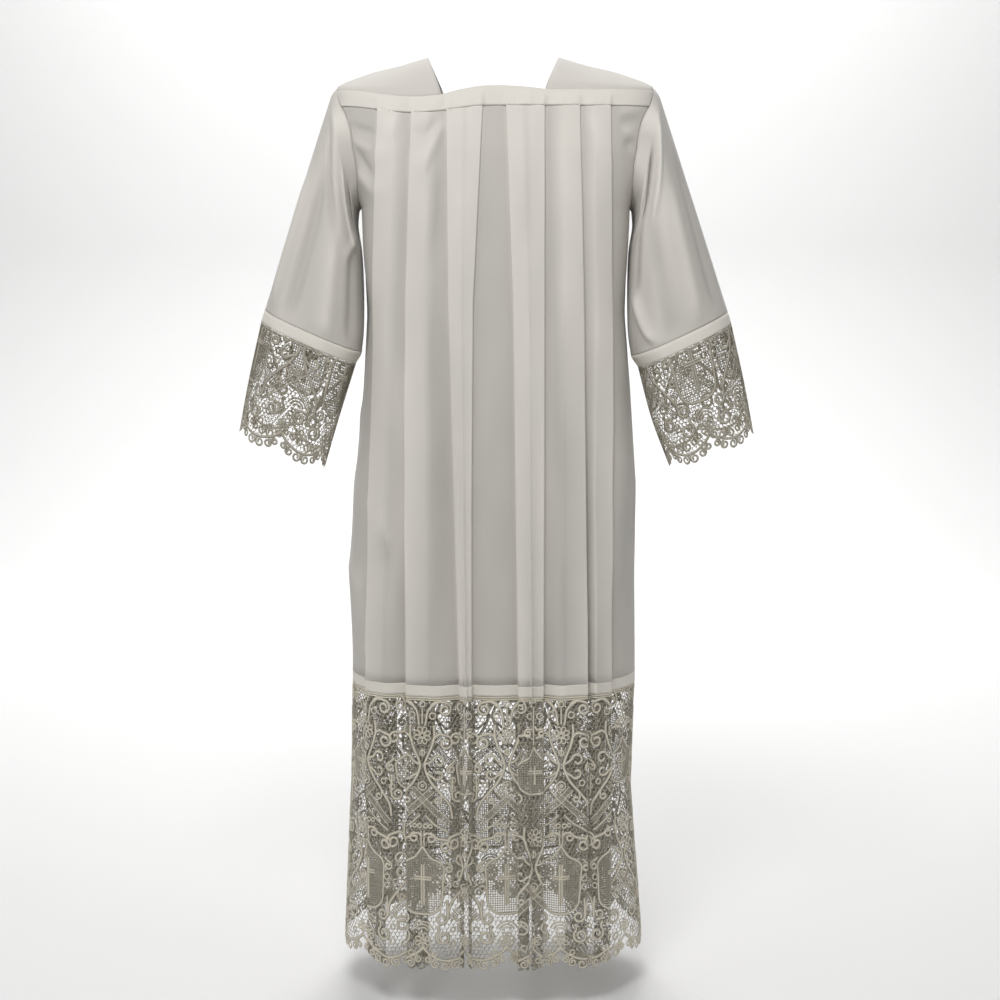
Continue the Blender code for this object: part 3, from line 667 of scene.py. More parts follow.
def woven_group():
    group, start, end = new_group("woven_thread", [("Slub", 1.0), ("Drift", 1.0)], ["Height", "Shade"])
    place = start.outputs["Place"]
    warp = thread_waves(group, place, "X", THREAD)
    weft = thread_waves(group, place, "Y", THREAD)
    threads = math_node(group, "MULTIPLY", warp, weft)
    slubs = []
    for stretch in ((900.0, 60.0, 1.0), (60.0, 900.0, 1.0)):
        mapping = add_node(group, "ShaderNodeMapping", {"Vector": place, "Scale": stretch})
        slubs.append(noise_node(group, mapping.outputs[0], 1.0, 2.0))
    slub = math_node(group, "MULTIPLY", math_node(group, "ADD", *slubs), start.outputs["Slub"])
    group.links.new(math_node(group, "ADD", threads, slub), end.inputs["Height"])
    centred = math_node(group, "SUBTRACT", noise_node(group, place, 7.0, 3.0), 0.5)
    shade = math_node(group, "MULTIPLY", centred, start.outputs["Drift"])
    slub_shade = math_node(group, "MULTIPLY", math_node(group, "SUBTRACT", slub, 1.0), 0.25)
    tone = math_node(group, "ADD", math_node(group, "ADD", shade, 0.5), slub_shade)
    group.links.new(tone, end.inputs["Shade"])
    return group


WOVEN = woven_group()
print("group", WOVEN.name, [item.name for item in WOVEN.interface.items_tree])

# %% Cloth and lace finishes
# The last field, thin, is the tone that the colour is multiplied by under full painted shade.
Finish = namedtuple(
    "Finish", "name light dark roughness sheen bump slub drift thin",
    defaults=(0.85, 0.25, 0.25, 1.0, 1.0, 0.72),
)
FINISHES = (
    Finish("white_cloth", (0.86, 0.82, 0.755), (0.77, 0.74, 0.695)),
    Finish("turned_hem", (0.86, 0.82, 0.745), (0.79, 0.76, 0.695)),
    Finish("lined_yoke", (0.84, 0.80, 0.735), (0.77, 0.74, 0.685)),
    # The lace's dark thin tone darkens its shaded edges, backs and threads.
    Finish("ecru_lace", (0.92, 0.86, 0.72), (0.75, 0.69, 0.56), 0.90, 0.15, 0.45, 1.6, 1.6, 0.42),
    Finish("sewing_thread", (0.88, 0.84, 0.77), (0.81, 0.78, 0.72), 0.70, 0.20, 0.10),
)


def fabric(row):
    """A fabric's material: its weave moves the colour between two tones and roughens the light, and
    painted shade darkens it where thin says so.
    """
    finish = bpy.data.materials.new(row.name)
    finish.use_nodes = True
    tree = finish.node_tree
    cut = add_node(tree, "ShaderNodeUVMap", {}, uv_map="cut")
    values = {"Place": cut.outputs["UV"], "Slub": row.slub, "Drift": row.drift}
    woven = add_node(tree, "ShaderNodeGroup", values, node_tree=WOVEN)
    values = {0: woven.outputs["Shade"], 6: (*row.dark, 1.0), 7: (*row.light, 1.0)}
    tones = add_node(tree, "ShaderNodeMix", values, data_type="RGBA")
    # Painted shade: the colour is multiplied towards the finish's thin tone where the point value thin
    # is high.
    thin = add_node(tree, "ShaderNodeAttribute", {}, attribute_name="thin")
    values = {0: thin.outputs["Fac"], 6: tones.outputs[2], 7: (row.thin, row.thin, row.thin, 1.0)}
    through = add_node(tree, "ShaderNodeMix", values, data_type="RGBA", blend_type="MULTIPLY")
    values = {"Height": woven.outputs["Height"], "Strength": row.bump, "Distance": THREAD_HIGH}
    bump = add_node(tree, "ShaderNodeBump", values)
    fill(tree, tree.nodes["Principled BSDF"].inputs, {
        "Base Color": through.outputs[2],
        "Roughness": row.roughness,
        "Sheen Weight": row.sheen,
        "Sheen Roughness": 0.5,
        "Specular IOR Level": 0.25,
        "Normal": bump.outputs["Normal"],
    })
    return finish


CLOTH, HEM, YOKE, LACE, THREADS = [fabric(row) for row in FINISHES]
print("finishes", [row.name for row in FINISHES])

# %% [markdown]
# ## Body panels
#
# The front and the back are each one width of cloth, pleated under the yoke. The rows of points
# stand closer together on the chest, where the creases are small, than on the skirt.

# %% Front and back panels
CLOTH_WALL = 0.0006
LAP = 0.003  # the panels go up behind the yoke this far
# Least and most painted shade on the panels' single cloth.
PAINTED_SHADE_LEAST, PAINTED_SHADE_MOST = 0.15, 0.9
CHEST_ROWS = np.linspace(YOKE_FOOT + LAP, -0.250, 31)
PANEL_ROWS = np.concatenate([CHEST_ROWS, np.linspace(-0.262, SKIRT_HEM_TOP + SEAM, 44)])

for side, word in SIDES:
    places = outward(panel_places(side, PANEL_ROWS), side == FRONT)
    # Painted shade: single cloth is darkened, crease troughs darker still, and crease ridges lighter.
    single = np.array([painted_single_shade(side, z) for z in PANEL_ROWS])
    single = outward(np.clip(single, PAINTED_SHADE_LEAST, PAINTED_SHADE_MOST), side == FRONT)
    ridges = RIDGE_PAINTED_LIGHT * crease_height(CREASES[side], places[:, :, 0], places[:, :, 2])
    mesh = sheet_mesh(word + "_pleats", places, thin=np.clip(single - ridges, 0, 1))
    piece = garment_piece(word + "_pleats", mesh, CLOTH, [word + "_panel"], CLOTH_WALL)

# %% [markdown]
# ## Yoke and shoulder straps
#
# The yoke is a narrow lined band that holds the pleats' tops. It stands a little proud of them, and
# the stacked pleats press up through it, so its surface swells over each one. The straps run from
# the front yoke over the shoulders to the back yoke, and their inner edges are the neckline.

# %% The yoke's line and the pleats under it
LINED_WALL = 0.0011
YOKE_COLUMNS = 260
YOKE_ROWS = 12
YOKE_OUT = 0.0026
YOKE_CLEAR = 0.0009  # from the pleats' cloth to the yoke's, middle to middle
YOKE_CROWN = 0.0005  # the band is a little rounded from its top to its foot
YOKE_STITCHES = 0.92  # the part of the way down the yoke where it is sewn
RELIEF_COLUMNS = 400


def yoke_line(side, x):
    """The height of the yoke's top edge, which arches up across the neck."""
    part = np.minimum(1.0, np.abs(x) / NECK_CORNER)
    rise = NECK_RISE if side == FRONT else NECK_RISE / 2
    return YOKE_TOP + rise * (1 - part ** 2) + yoke_sag(side, x)


def pleat_relief(side, along):
    """How far out the stacked pleats stand under the yoke, at distances along the outline."""
    _, path_along, path_out = panel_path(side, YOKE_FOOT)
    part = np.linspace(0, len(path_along) - 1, 12 * len(path_along))
    fine_along = np.interp(part, np.arange(len(path_along)), path_along)
    fine_out = np.interp(part, np.arange(len(path_along)), path_out)
    places = np.linspace(path_along[0], path_along[-1], RELIEF_COLUMNS)
    relief = np.zeros(RELIEF_COLUMNS)
    slot = np.round((fine_along - places[0]) / (places[1] - places[0])).astype(int)
    np.maximum.at(relief, np.clip(slot, 0, RELIEF_COLUMNS - 1), fine_out)
    soft = np.hanning(9)
    relief = np.convolve(np.pad(relief, 4, mode="edge"), soft / soft.sum(), mode="valid")
    return np.interp(along, places, relief)


highest = pleat_relief(FRONT, np.linspace(-0.2, 0.2, 99)).max()
print("pleats stand out under the yoke by", round(float(highest), 4), "m")

# %% Yoke bands
def yoke_places(side):
    """The yoke's rows, from its own top edge down onto the pleats."""
    rows = []
    for down in np.linspace(0, 1, YOKE_ROWS):
        z = YOKE_TOP + (YOKE_FOOT - YOKE_TOP) * down
        half = half_outline(side, z)
        start, end = panel_ends(half, z)
        along = np.linspace(start, end, YOKE_COLUMNS)
        x, _ = on_outline(half, side, along, 0.0)
        pressed = eased(down)
        out = YOKE_OUT * (1 - pressed) + (pleat_relief(side, along) + YOKE_CLEAR) * pressed
        x, y = on_outline(half, side, along, out + YOKE_CROWN * math.sin(math.pi * down))
        foot = YOKE_FOOT + yoke_sag(side, x) + 0.0004
        rows.append(np.stack([x, y, yoke_line(side, x) * (1 - down) + foot * down], axis=1))
    return np.array(rows)


Seam = namedtuple("Seam", "name line normals lift")
seams = []


def sew(name, places, part, wall):
    """Notes a line of stitches across a sheet, this part of the way down it."""
    normals = row_across(grid_normals(places), part)
    seams.append(Seam(name, row_across(places, part), normals, wall / 2))


for side, word in SIDES:
    places = outward(yoke_places(side), side == FRONT)
    mesh = sheet_mesh(word + "_yoke_band", places)
    piece = garment_piece(word + "_yoke_band", mesh, YOKE, [word + "_yoke"], LINED_WALL)
    sew(word + "_yoke", places, YOKE_STITCHES, LINED_WALL)
print("yoke is", round(YOKE_TOP - YOKE_FOOT, 3), "m deep")

# %% The lines of the straps
STRAP_LIFT = 0.0019
STRAP_OUT = 0.0024
STRAP_TUCK = 0.0016  # its ends lean in behind the yoke this far
STRAP_SOFT = 0.0010
LEFT_TIP_MORE = 0.006  # the left shoulder is this much wider, as worn
LAPPED = 0.06  # the part of its length at each end that bends down to the yoke
STRAP_LAP = 0.0020  # a strap's ends go down behind the yoke this far
STRAP_ROWS, STRAP_COLUMNS = 22, 65
# Painted shade on a strap, which is double, but nothing lies under it.
STRAP_PAINTED_SHADE = 0.60  # a strap is double, but nothing lies under it
RIDGE_PARTS = (0.00, 0.35, 0.62, 0.90, 1.00)  # from the neck's side to the shoulder's tip
RIDGE_HEIGHTS = (-0.001, -0.015, -0.026, -0.039, -0.0465)


def strap_edge(side, hand, across):
    """The point on the yoke's top seam, this part of the way from the neck's corner to the armhole."""
    half = half_outline(side, YOKE_TOP)
    ends = panel_ends(half, YOKE_TOP)
    corner = np.interp(hand * NECK_CORNER, half[0], half[2])
    length = corner + (ends[0 if hand == LEFT else 1] - corner) * across
    x, y = on_outline(half, side, length, STRAP_OUT)
    return np.array([x, y, YOKE_TOP + yoke_sag(side, x)])


def strap_line(hand, across, count):
    """The strap's section from the front yoke over the shoulder to the back yoke."""
    front, back = strap_edge(FRONT, hand, across), strap_edge(BACK, hand, across)
    ridge = float(np.interp(across, RIDGE_PARTS, RIDGE_HEIGHTS))
    tip = SHOULDER_TIP + (LEFT_TIP_MORE if hand == RIGHT else 0)
    crest_x = hand * (NECK_SIDE + (tip - NECK_SIDE) * across)
    over = np.linspace(0, 1, count)
    arch = 1 - (2 * over - 1) ** 2
    base = front + (back - front) * over[:, None]
    x = base[:, 0] + (crest_x - base[:, 0]) * arch
    z = base[:, 2] + (ridge - base[:, 2]) * arch
    return np.stack([x, base[:, 1], z], axis=1)


print("a strap's neck side starts at", strap_line(LEFT, 0.0, 3)[0].round(3))

# %% Shoulder straps
def strap_places(hand):
    rows = [strap_line(hand, across, STRAP_COLUMNS) for across in np.linspace(0, 1, STRAP_ROWS)]
    places = np.array(rows)
    over = np.linspace(0, 1, STRAP_COLUMNS)[None, :]
    lapped = np.clip(np.minimum(over, 1 - over) / LAPPED, 0, 1)
    places[:, :, 2] += STRAP_LIFT * lapped - STRAP_LAP * (1 - lapped) ** 3
    places[:, :, 1] += np.sign(0.5 - over) * STRAP_TUCK * (1 - lapped) ** 3
    across = np.linspace(0, 1, STRAP_ROWS)[:, None]
    soft = np.sin(math.pi * over) * np.sin(math.pi * across)
    places[:, :, 2] += STRAP_SOFT * soft * np.sin(9 * across + 5 * over)
    return places


for hand, word in HANDS:
    places = strap_places(hand)
    mesh = sheet_mesh(word + "_strap", places if hand == LEFT else places[::-1], thin=STRAP_PAINTED_SHADE)
    piece = garment_piece(word + "_strap", mesh, CLOTH, [word + "_shoulder"], LINED_WALL)
print("straps run from", NECK_SIDE, "to", SHOULDER_TIP, "m from the middle")

# %% [markdown]
# ## Sleeves
#
# A sleeve is a wide tube set into the armhole. It is given here by the two ends of its silhouette
# at a few places down the arm, and the surface between them is a smooth curve through those rings.
# Its creases are given round the tube and down it: 0 degrees is the outer line, 90 the front and
# 180 the armpit.

# %% Sizes of the sleeves
Ring = namedtuple("Ring", "name outer_x outer_z inner_x inner_z forward deep")
SLEEVES = {
    LEFT: [Ring(*row) for row in (
        ("cap", 0.2570, -0.0560, 0.2180, -0.2440, 0.000, 0.090),
        ("upper", 0.2720, -0.1010, 0.2195, -0.2710, 0.002, 0.090),
        ("biceps", 0.2930, -0.1660, 0.2130, -0.3110, 0.008, 0.090),
        ("elbow", 0.3220, -0.2580, 0.2100, -0.3690, 0.016, 0.090),
        ("low", 0.3510, -0.3490, 0.2100, -0.4290, 0.026, 0.088),
        ("hem_top", 0.3665, -0.3980, 0.2135, -0.4660, 0.032, 0.087),
        ("hem_foot", 0.3722, -0.4160, 0.2225, -0.4840, 0.034, 0.086),
        ("lace_middle", 0.3930, -0.5090, 0.2500, -0.5710, 0.044, 0.081),
        ("lace_foot", 0.4090, -0.5940, 0.2740, -0.6520, 0.052, 0.076),
    )],
    RIGHT: [Ring(*row) for row in (
        ("cap", 0.2640, -0.0560, 0.2240, -0.2440, 0.000, 0.090),
        ("upper", 0.2790, -0.1010, 0.2255, -0.2710, 0.002, 0.090),
        ("biceps", 0.3000, -0.1660, 0.2190, -0.3110, 0.008, 0.090),
        ("elbow", 0.3300, -0.2580, 0.2170, -0.3720, 0.016, 0.090),
        ("low", 0.3600, -0.3510, 0.2180, -0.4340, 0.026, 0.088),
        ("hem_top", 0.3760, -0.4010, 0.2230, -0.4720, 0.032, 0.087),
        ("hem_foot", 0.3815, -0.4190, 0.2340, -0.4900, 0.034, 0.086),
        ("lace_middle", 0.4030, -0.5140, 0.2560, -0.5730, 0.044, 0.081),
        ("lace_foot", 0.4190, -0.5980, 0.2850, -0.6500, 0.052, 0.076),
    )],
}
SLEEVE_POWER = 2.3
ARMHOLE_SET = 0.0004
SLEEVE_BOLD = 2.8  # the sleeves' creases are this much deeper than the table
SLEEVE_NARROW = 0.8  # and this much narrower

Fold = namedtuple("Fold", "start end cap elbow hem wide")
SLEEVE_FOLDS = {
    LEFT: [Fold(*row) for row in (
        (70, 150, 0.010, 0.003, 0.0, 20),
        (35, 60, 0.002, 0.006, 0.004, 24),
        (300, 215, 0.009, 0.005, 0.002, 24),
    )],
    RIGHT: [Fold(*row) for row in (
        (62, 112, 0.010, 0.008, 0.004, 18),
        (105, 165, 0.008, 0.006, 0.0, 18),
        (295, 220, 0.009, 0.005, 0.002, 24),
    )],
}

print("sleeve rings", {word: len(SLEEVES[hand]) for hand, word in HANDS})

# %% Creases of the sleeves
# Each gives the angle and the part of the way down where it starts and where it ends.
Tuck = namedtuple("Tuck", "start_at start_down end_at end_down wide out")
SLEEVE_CREASES = {
    LEFT: [Tuck(*row) for row in (
        (120, 0.04, 160, 0.32, 9, -0.0040),
        (98, 0.05, 138, 0.40, 8, 0.0030),
        (60, 0.10, 96, 0.46, 10, -0.0024),
        (70, 0.36, 64, 0.95, 11, -0.0034),
        (98, 0.48, 104, 0.98, 12, 0.0030),
        (132, 0.45, 140, 0.92, 12, -0.0026),
        (36, 0.40, 32, 0.90, 11, 0.0022),
        (152, 0.26, 120, 0.52, 8, 0.0024),
        (240, 0.06, 206, 0.40, 10, -0.0034),
        (285, 0.30, 275, 0.95, 12, 0.0028),
        (318, 0.20, 312, 0.80, 12, -0.0024),
        (215, 0.45, 225, 0.95, 12, 0.0024),
    )],
    RIGHT: [Tuck(*row) for row in (
        (84, 0.03, 128, 0.34, 8, -0.0040),
        (60, 0.05, 100, 0.42, 9, 0.0032),
        (112, 0.06, 158, 0.36, 8, 0.0030),
        (128, 0.34, 142, 0.62, 9, -0.0034),
        (146, 0.60, 118, 0.96, 9, 0.0034),
        (100, 0.46, 98, 0.97, 11, -0.0028),
        (66, 0.40, 74, 0.94, 12, 0.0024),
        (34, 0.34, 42, 0.88, 11, -0.0022),
        (242, 0.06, 208, 0.42, 10, -0.0034),
        (280, 0.30, 268, 0.95, 12, 0.0028),
        (316, 0.24, 306, 0.86, 12, -0.0024),
        (222, 0.50, 214, 0.95, 12, 0.0026),
    )],
}
print("sleeve creases", {word: len(SLEEVE_CREASES[hand]) for hand, word in HANDS})

# %% The armhole's edge
ROUND = 128  # points round a sleeve
ROUND_AT = np.arange(ROUND) * 360 / ROUND


def apart_from(at, middle):
    """How far angles are from another one, between -180 and 180 degrees."""
    return np.mod(at - middle + 180, 360.0) - 180


def armhole_ring(hand):
    """The armhole's edge in even steps, from the crest over the front to the armpit and back."""
    arch = strap_line(hand, 1.0, 65)
    sides = {}
    for side in (FRONT, BACK):
        sides[side] = []
        for z in np.linspace(YOKE_TOP - 0.002, ARMPIT + 0.0002, 60):
            half = half_outline(side, z)
            end = panel_ends(half, z)[0 if hand == LEFT else 1]
            x, y = on_outline(half, side, end, 0.0)
            sides[side].append((float(x), float(y), z))
    ring = np.concatenate([arch[32::-1], sides[FRONT], sides[BACK][::-1], arch[:32:-1]])
    centre = (ring[0] + ring[len(ring) // 2]) / 2
    reach = (ring[0] - ring[len(ring) // 2]) / 2
    away = ring - centre
    angle = np.degrees(np.arctan2(-away[:, 1] / ARMHOLE_DEEP, away @ reach / (reach @ reach)))
    angle = np.unwrap(angle, period=360)
    order = np.argsort(angle)
    low = angle[order][0]
    even = np.where(ROUND_AT < low, ROUND_AT + 360, ROUND_AT)
    rows = [np.interp(even, angle[order], ring[order, k], period=360) for k in range(3)]
    return np.stack(rows, axis=1), centre


print("points round an armhole", len(armhole_ring(LEFT)[0]))

# %% Ridges and creases round a sleeve
def ring_ends(hand, ring):
    outer = np.array([hand * ring.outer_x, -ring.forward, ring.outer_z])
    inner = np.array([hand * ring.inner_x, -ring.forward, ring.inner_z])
    return outer, inner


def fold_height(hand, at, part):
    """How far the sleeve's ridges and creases stand out, from 0 at the cap to 1 at the hem."""
    out = np.zeros_like(at)
    for fold in SLEEVE_FOLDS[hand]:
        apart = apart_from(at, fold.start + (fold.end - fold.start) * part)
        height = float(np.interp(part, [0.0, 0.5, 1.0], [fold.cap, fold.elbow, fold.hem]))
        out += height * np.exp(-((apart / fold.wide) ** 2))
    for row in SLEEVE_CREASES[hand]:
        down = (part - row.start_down) / (row.end_down - row.start_down)
        ends = min(max(min(down + 0.15, 1.15 - down) / 0.4, 0.0), 1.0)
        middle = row.start_at + (row.end_at - row.start_at) * min(max(down, 0.0), 1.0)
        apart = apart_from(at, middle)
        height = SLEEVE_BOLD * row.out * eased(ends)
        out += height * np.exp(-((apart / (SLEEVE_NARROW * row.wide)) ** 2))
    return out


print("ridge at the cap", round(float(fold_height(LEFT, np.array([70.0]), 0.0)[0]), 4), "m")

# %% Rings down the arm
def smooth_between(knots, values, at):
    """A smooth curve through values at increasing knots, read at many places."""
    slopes = np.gradient(values, knots, axis=0)
    slot = np.clip(np.searchsorted(knots, at, side="right") - 1, 0, len(knots) - 2)
    step = (knots[slot + 1] - knots[slot])[:, None]
    run = (at - knots[slot])[:, None] / step
    near, far = 2 * run ** 3 - 3 * run ** 2 + 1, 3 * run ** 2 - 2 * run ** 3
    leave, arrive = run ** 3 - 2 * run ** 2 + run, run ** 3 - run ** 2
    start = near * values[slot] + leave * step * slopes[slot]
    return start + far * values[slot + 1] + arrive * step * slopes[slot + 1]


def smooth_rings(hand, table, at, parts):
    """Rings down the arm: the silhouette's ends and depth run smoothly through the table's rows."""
    knots = np.linspace(0, 1, len(table))
    ends = np.array([np.concatenate([*ring_ends(hand, ring), [ring.deep]]) for ring in table])
    turn = np.radians(at)
    power = 2 / SLEEVE_POWER
    wide = np.sign(np.cos(turn)) * np.abs(np.cos(turn)) ** power
    deep = np.sign(np.sin(turn)) * np.abs(np.sin(turn)) ** power
    rows = []
    for row in smooth_between(knots, ends, np.asarray(parts)):
        centre, across = (row[:3] + row[3:6]) / 2, (row[:3] - row[3:6]) / 2
        rows.append(centre + across * wide[:, None] - np.array([0, 1, 0]) * (row[6] * deep)[:, None])
    return np.array(rows)


def creased_rings(hand, table, at, parts, fold_parts):
    """The same rings with their creases, read at these parts of the way from the cap to the hem."""
    places = smooth_rings(hand, table, at, parts)
    centres = places.mean(axis=1, keepdims=True)
    away = places - centres
    away = away / np.linalg.norm(away, axis=2, keepdims=True)
    heights = np.array([fold_height(hand, at, part) for part in fold_parts])
    return places + away * heights[:, :, None]


print("sleeve places", smooth_rings(LEFT, SLEEVES[LEFT], ROUND_AT, [0.0, 1.0]).shape)

# %% The sleeves
# Painted shade on a sleeve, which is single cloth, but its far side shows through it a little.
SLEEVE_PAINTED_SHADE = 0.82  # a sleeve is single cloth, but its far side shows through it a little
TUBE_PARTS = np.concatenate([np.linspace(0.03, 0.30, 26), np.linspace(0.315, 1, 42)])
CAP_STEP = 0.006  # the cloth stands out from the armhole this far before it turns down


def sleeve_places(hand):
    """The sleeve from the armhole to its hem, and its painted shade. The first rows leave the
    armhole outwards, then the tube takes over."""
    ring, centre = armhole_ring(hand)
    away = ring - centre
    away[:, 0] = 0.0
    away = away / np.linalg.norm(away, axis=1, keepdims=True)
    start = ring - away * 0.0003 + np.array([hand * ARMHOLE_SET, 0, 0])
    tube = creased_rings(hand, SLEEVES[hand][:6], ROUND_AT, TUBE_PARTS, TUBE_PARTS)
    bend = start + np.array([hand * CAP_STEP, 0, 0])
    rows = [start]
    for part in (0.25, 0.5, 0.75):
        taken = eased(part)
        rows.append((start + (bend - start) * min(1.0, part * 1.4)) * (1 - taken) + tube[0] * taken)
    places = np.concatenate([np.array(rows), tube])
    places[-1] = places[-2] + (places[-1] - places[-2]) * 0.97
    fold_parts = [0.0] * len(rows) + list(TUBE_PARTS)
    heights = np.array([fold_height(hand, ROUND_AT, part) for part in fold_parts])
    # Painted shade on the sleeve: darker in the troughs of its creases, lighter on its ridges.
    return places, np.clip(SLEEVE_PAINTED_SHADE - RIDGE_PAINTED_LIGHT * heights, 0, 1)


for hand, word in HANDS:
    places, thin = sleeve_places(hand)
    thin = outward(thin, hand == RIGHT)
    mesh = sheet_mesh(word + "_wide_sleeve", outward(places, hand == RIGHT), closed=True, thin=thin)
    piece = garment_piece(word + "_wide_sleeve", mesh, CLOTH, [word + "_sleeve"], CLOTH_WALL)

# %% [markdown]
# ## Hems
#
# The skirt and the sleeves end in a hem: the cloth's edge turned up, pressed and sewn down. It is
# thicker than the cloth above it, and looks whiter, because less light passes through it: the hem
# gets no painted shade, and its darker weave tone is a little lighter than the cloth's.

# %% Skirt and sleeve hems
HEM_WALL = 0.0013
HEM_STITCHES = 0.12
for side, word in SIDES:
    heights = np.linspace(SKIRT_HEM_TOP, SKIRT_HEM_FOOT, 6)
    places = outward(panel_places(side, heights), side == FRONT)
    mesh = sheet_mesh(word + "_turned_hem", places)
    piece = garment_piece(word + "_turned_hem", mesh, HEM, [word + "_skirt_hem"], HEM_WALL)
    sew(word + "_hem", places, HEM_STITCHES, HEM_WALL)
for hand, word in HANDS:
    parts = np.linspace(5 / 6, 1, 6)  # the last of the six stretches between the rings
    places = creased_rings(hand, SLEEVES[hand][:7], ROUND_AT, parts, np.ones(len(parts)))
    places = outward(places, hand == RIGHT)
    mesh = sheet_mesh(word + "_turned_cuff", places, closed=True)
    piece = garment_piece(word + "_turned_cuff", mesh, HEM, [word + "_sleeve_hem"], HEM_WALL)
    sew(word + "_cuff", np.concatenate([places, places[:, :1]], axis=1), HEM_STITCHES, HEM_WALL)
print("hems are", round(SKIRT_HEM_TOP - SKIRT_HEM_FOOT, 3), "m deep")

# %% [markdown]
# Small stitches hold the yoke and the hems. Each is one short bead of thread, laid along its seam
# and half sunk into the cloth, and one mesh holds all the stitches of a seam.

# %% Stitches
STITCH_STEP = 0.0034
STITCH = (0.0010, 0.00028, 0.00026)  # half its length, width and height


def stitch_mesh(name, line, normals, lift):
    """Beads of thread at even steps along a line on the cloth."""
    bead = bmesh.new()
    bmesh.ops.create_icosphere(bead, subdivisions=1, radius=1.0)
    round_bead = np.array([vertex.co[:] for vertex in bead.verts])
    faces = np.array([[vertex.index for vertex in face.verts] for face in bead.faces])
    bead.free()
    lengths = lengths_along(line)
    at = np.arange(STITCH_STEP / 2, lengths[-1], STITCH_STEP)

    def read(at, values):
        return np.stack([np.interp(at, lengths, values[:, k]) for k in range(3)], axis=1)

    middle = read(at, line)
    along = read(at + 0.0004, line) - middle
    along = along / np.linalg.norm(along, axis=1, keepdims=True)
    out = read(at, normals)
    out = out - along * (out * along).sum(axis=1, keepdims=True)
    out = out / np.linalg.norm(out, axis=1, keepdims=True)
    long, wide, high = STITCH
    axes = np.stack([along * long, np.cross(out, along) * wide, out * high], axis=1)
    places = middle[:, None] + out[:, None] * lift + round_bead @ axes
    count = len(at)
    mesh = bpy.data.meshes.new(name)
    all_faces = faces[None] + (np.arange(count) * len(round_bead))[:, None, None]
    mesh.from_pydata(places.reshape(-1, 3).tolist(), [], all_faces.reshape(-1, 3).tolist())
    points = np.repeat(at, len(round_bead))
    keep_cut(mesh, np.stack([points, 0 * points], axis=1), 0 * points)
    mesh.shade_smooth()
    return mesh


for row in seams:
    mesh = stitch_mesh(row.name + "_stitches", row.line, row.normals, row.lift)
    garment_piece(row.name + "_stitches", mesh, THREADS, [])
    print(row.name, "stitches", len(mesh.polygons) // 20)

# %% [markdown]
# ## Lace
#
# The lace is tape lace. A woven tape is laid along a drawn pattern of stems, curls and eyes, and fine
# threads between them hold it together. Its arched windows are filet, a knotted square net with a
# plain darned cross. The pattern repeats every 18 cm, with a second column of it set half a drop
# lower in between. So one repeat is drawn flat, in millimetres across and down from the lace's top
# edge, and a few functions draw what repeats inside it.

# %% Lines of the lace's drawing
MM = 0.001
REPEAT = 180.0
COLUMN = REPEAT / 2
LACE_DEEP = (SKIRT_HEM_FOOT - LACE_FOOT) / MM
EDGE_RISE = 22.0  # the scallops of the lower edge are this deep
BORDER = 16.0  # from the scalloped border tape to the lowest loops
TAPE_STEP = 4.2

Line = namedtuple("Line", "points wide")
tapes, threads = [], []


def smooth_line(points):
    """A smooth line through a few points, with a point at each even step."""
    points = np.array(points, float)
    knots = lengths_along(points)
    at = np.linspace(0, knots[-1], max(3, round(knots[-1] / TAPE_STEP)))
    return smooth_between(knots, points, at)


def curl_line(x, down, radius, start, turns, hand, inner=0.34):
    """A line that winds inwards from a start angle, where 0 is to the right and 90 is down."""
    part = np.linspace(0, 1, math.ceil(turns * 10) + 1)
    angle = np.radians(start) + hand * part * turns * math.tau
    reach = radius * (1 - (1 - inner) * part)
    return np.stack([x + reach * np.cos(angle), down + reach * np.sin(angle)], axis=1)


def lay(line, wide, column=0.0, drop=0.0, pair=True, fine=False):
    """Adds a line at a column of the pattern, with its mirror image unless it's a single one."""
    kind = threads if fine else tapes
    kind.append(Line(line + np.array([column, drop]), wide))
    if pair:
        kind.append(Line(line * np.array([-1, 1]) + np.array([column, drop]), wide))


def edge_down(x):
    """How far down the scalloped edge is."""
    return LACE_DEEP - EDGE_RISE * (1 - np.abs(np.sin(math.pi * x / COLUMN)) ** 0.8)


print("lace is", round(LACE_DEEP), "mm deep")

# %% [markdown]
# A few small figures come again and again: an eye is a ring, a flower is a ring of petals round an
# eye, a scroll is a stem that ends in a curl, and a band is a strip of net between two tapes.

# %% Figures of the lace
Stem = namedtuple("Stem", "wide points")
Scroll = namedtuple("Scroll", "wide stem x down radius turns hand")
Eye = namedtuple("Eye", "x down radius")
Band = namedtuple("Band", "x_start down_start x_end down_end")
BAND_HALF = 4.6
NET = 3.75  # from knot to knot
NET_THREAD, BAR_THREAD = 1.35, 1.3
BAND_TAPE = 2.6


def ring_line(x, down, radius):
    return curl_line(x, down, radius, 0, 1.0, 1, inner=0.99)


def draw_eye(row, column, drop):
    lay(ring_line(row.x, row.down, row.radius), 3.3, column, drop, pair=row.x != 0)


def draw_scroll(row, column, drop):
    last = row.stem[-1]
    start = math.degrees(math.atan2(last[1] - row.down, last[0] - row.x))
    curl = curl_line(row.x, row.down, row.radius, start, row.turns, row.hand)
    stem = smooth_line([*row.stem, curl[1]])[:-1] if len(row.stem) > 1 else np.array(row.stem)
    lay(np.concatenate([stem, curl[1:]]), row.wide, column, drop)


print("an eye has", len(ring_line(0, 0, 4.0)), "points")

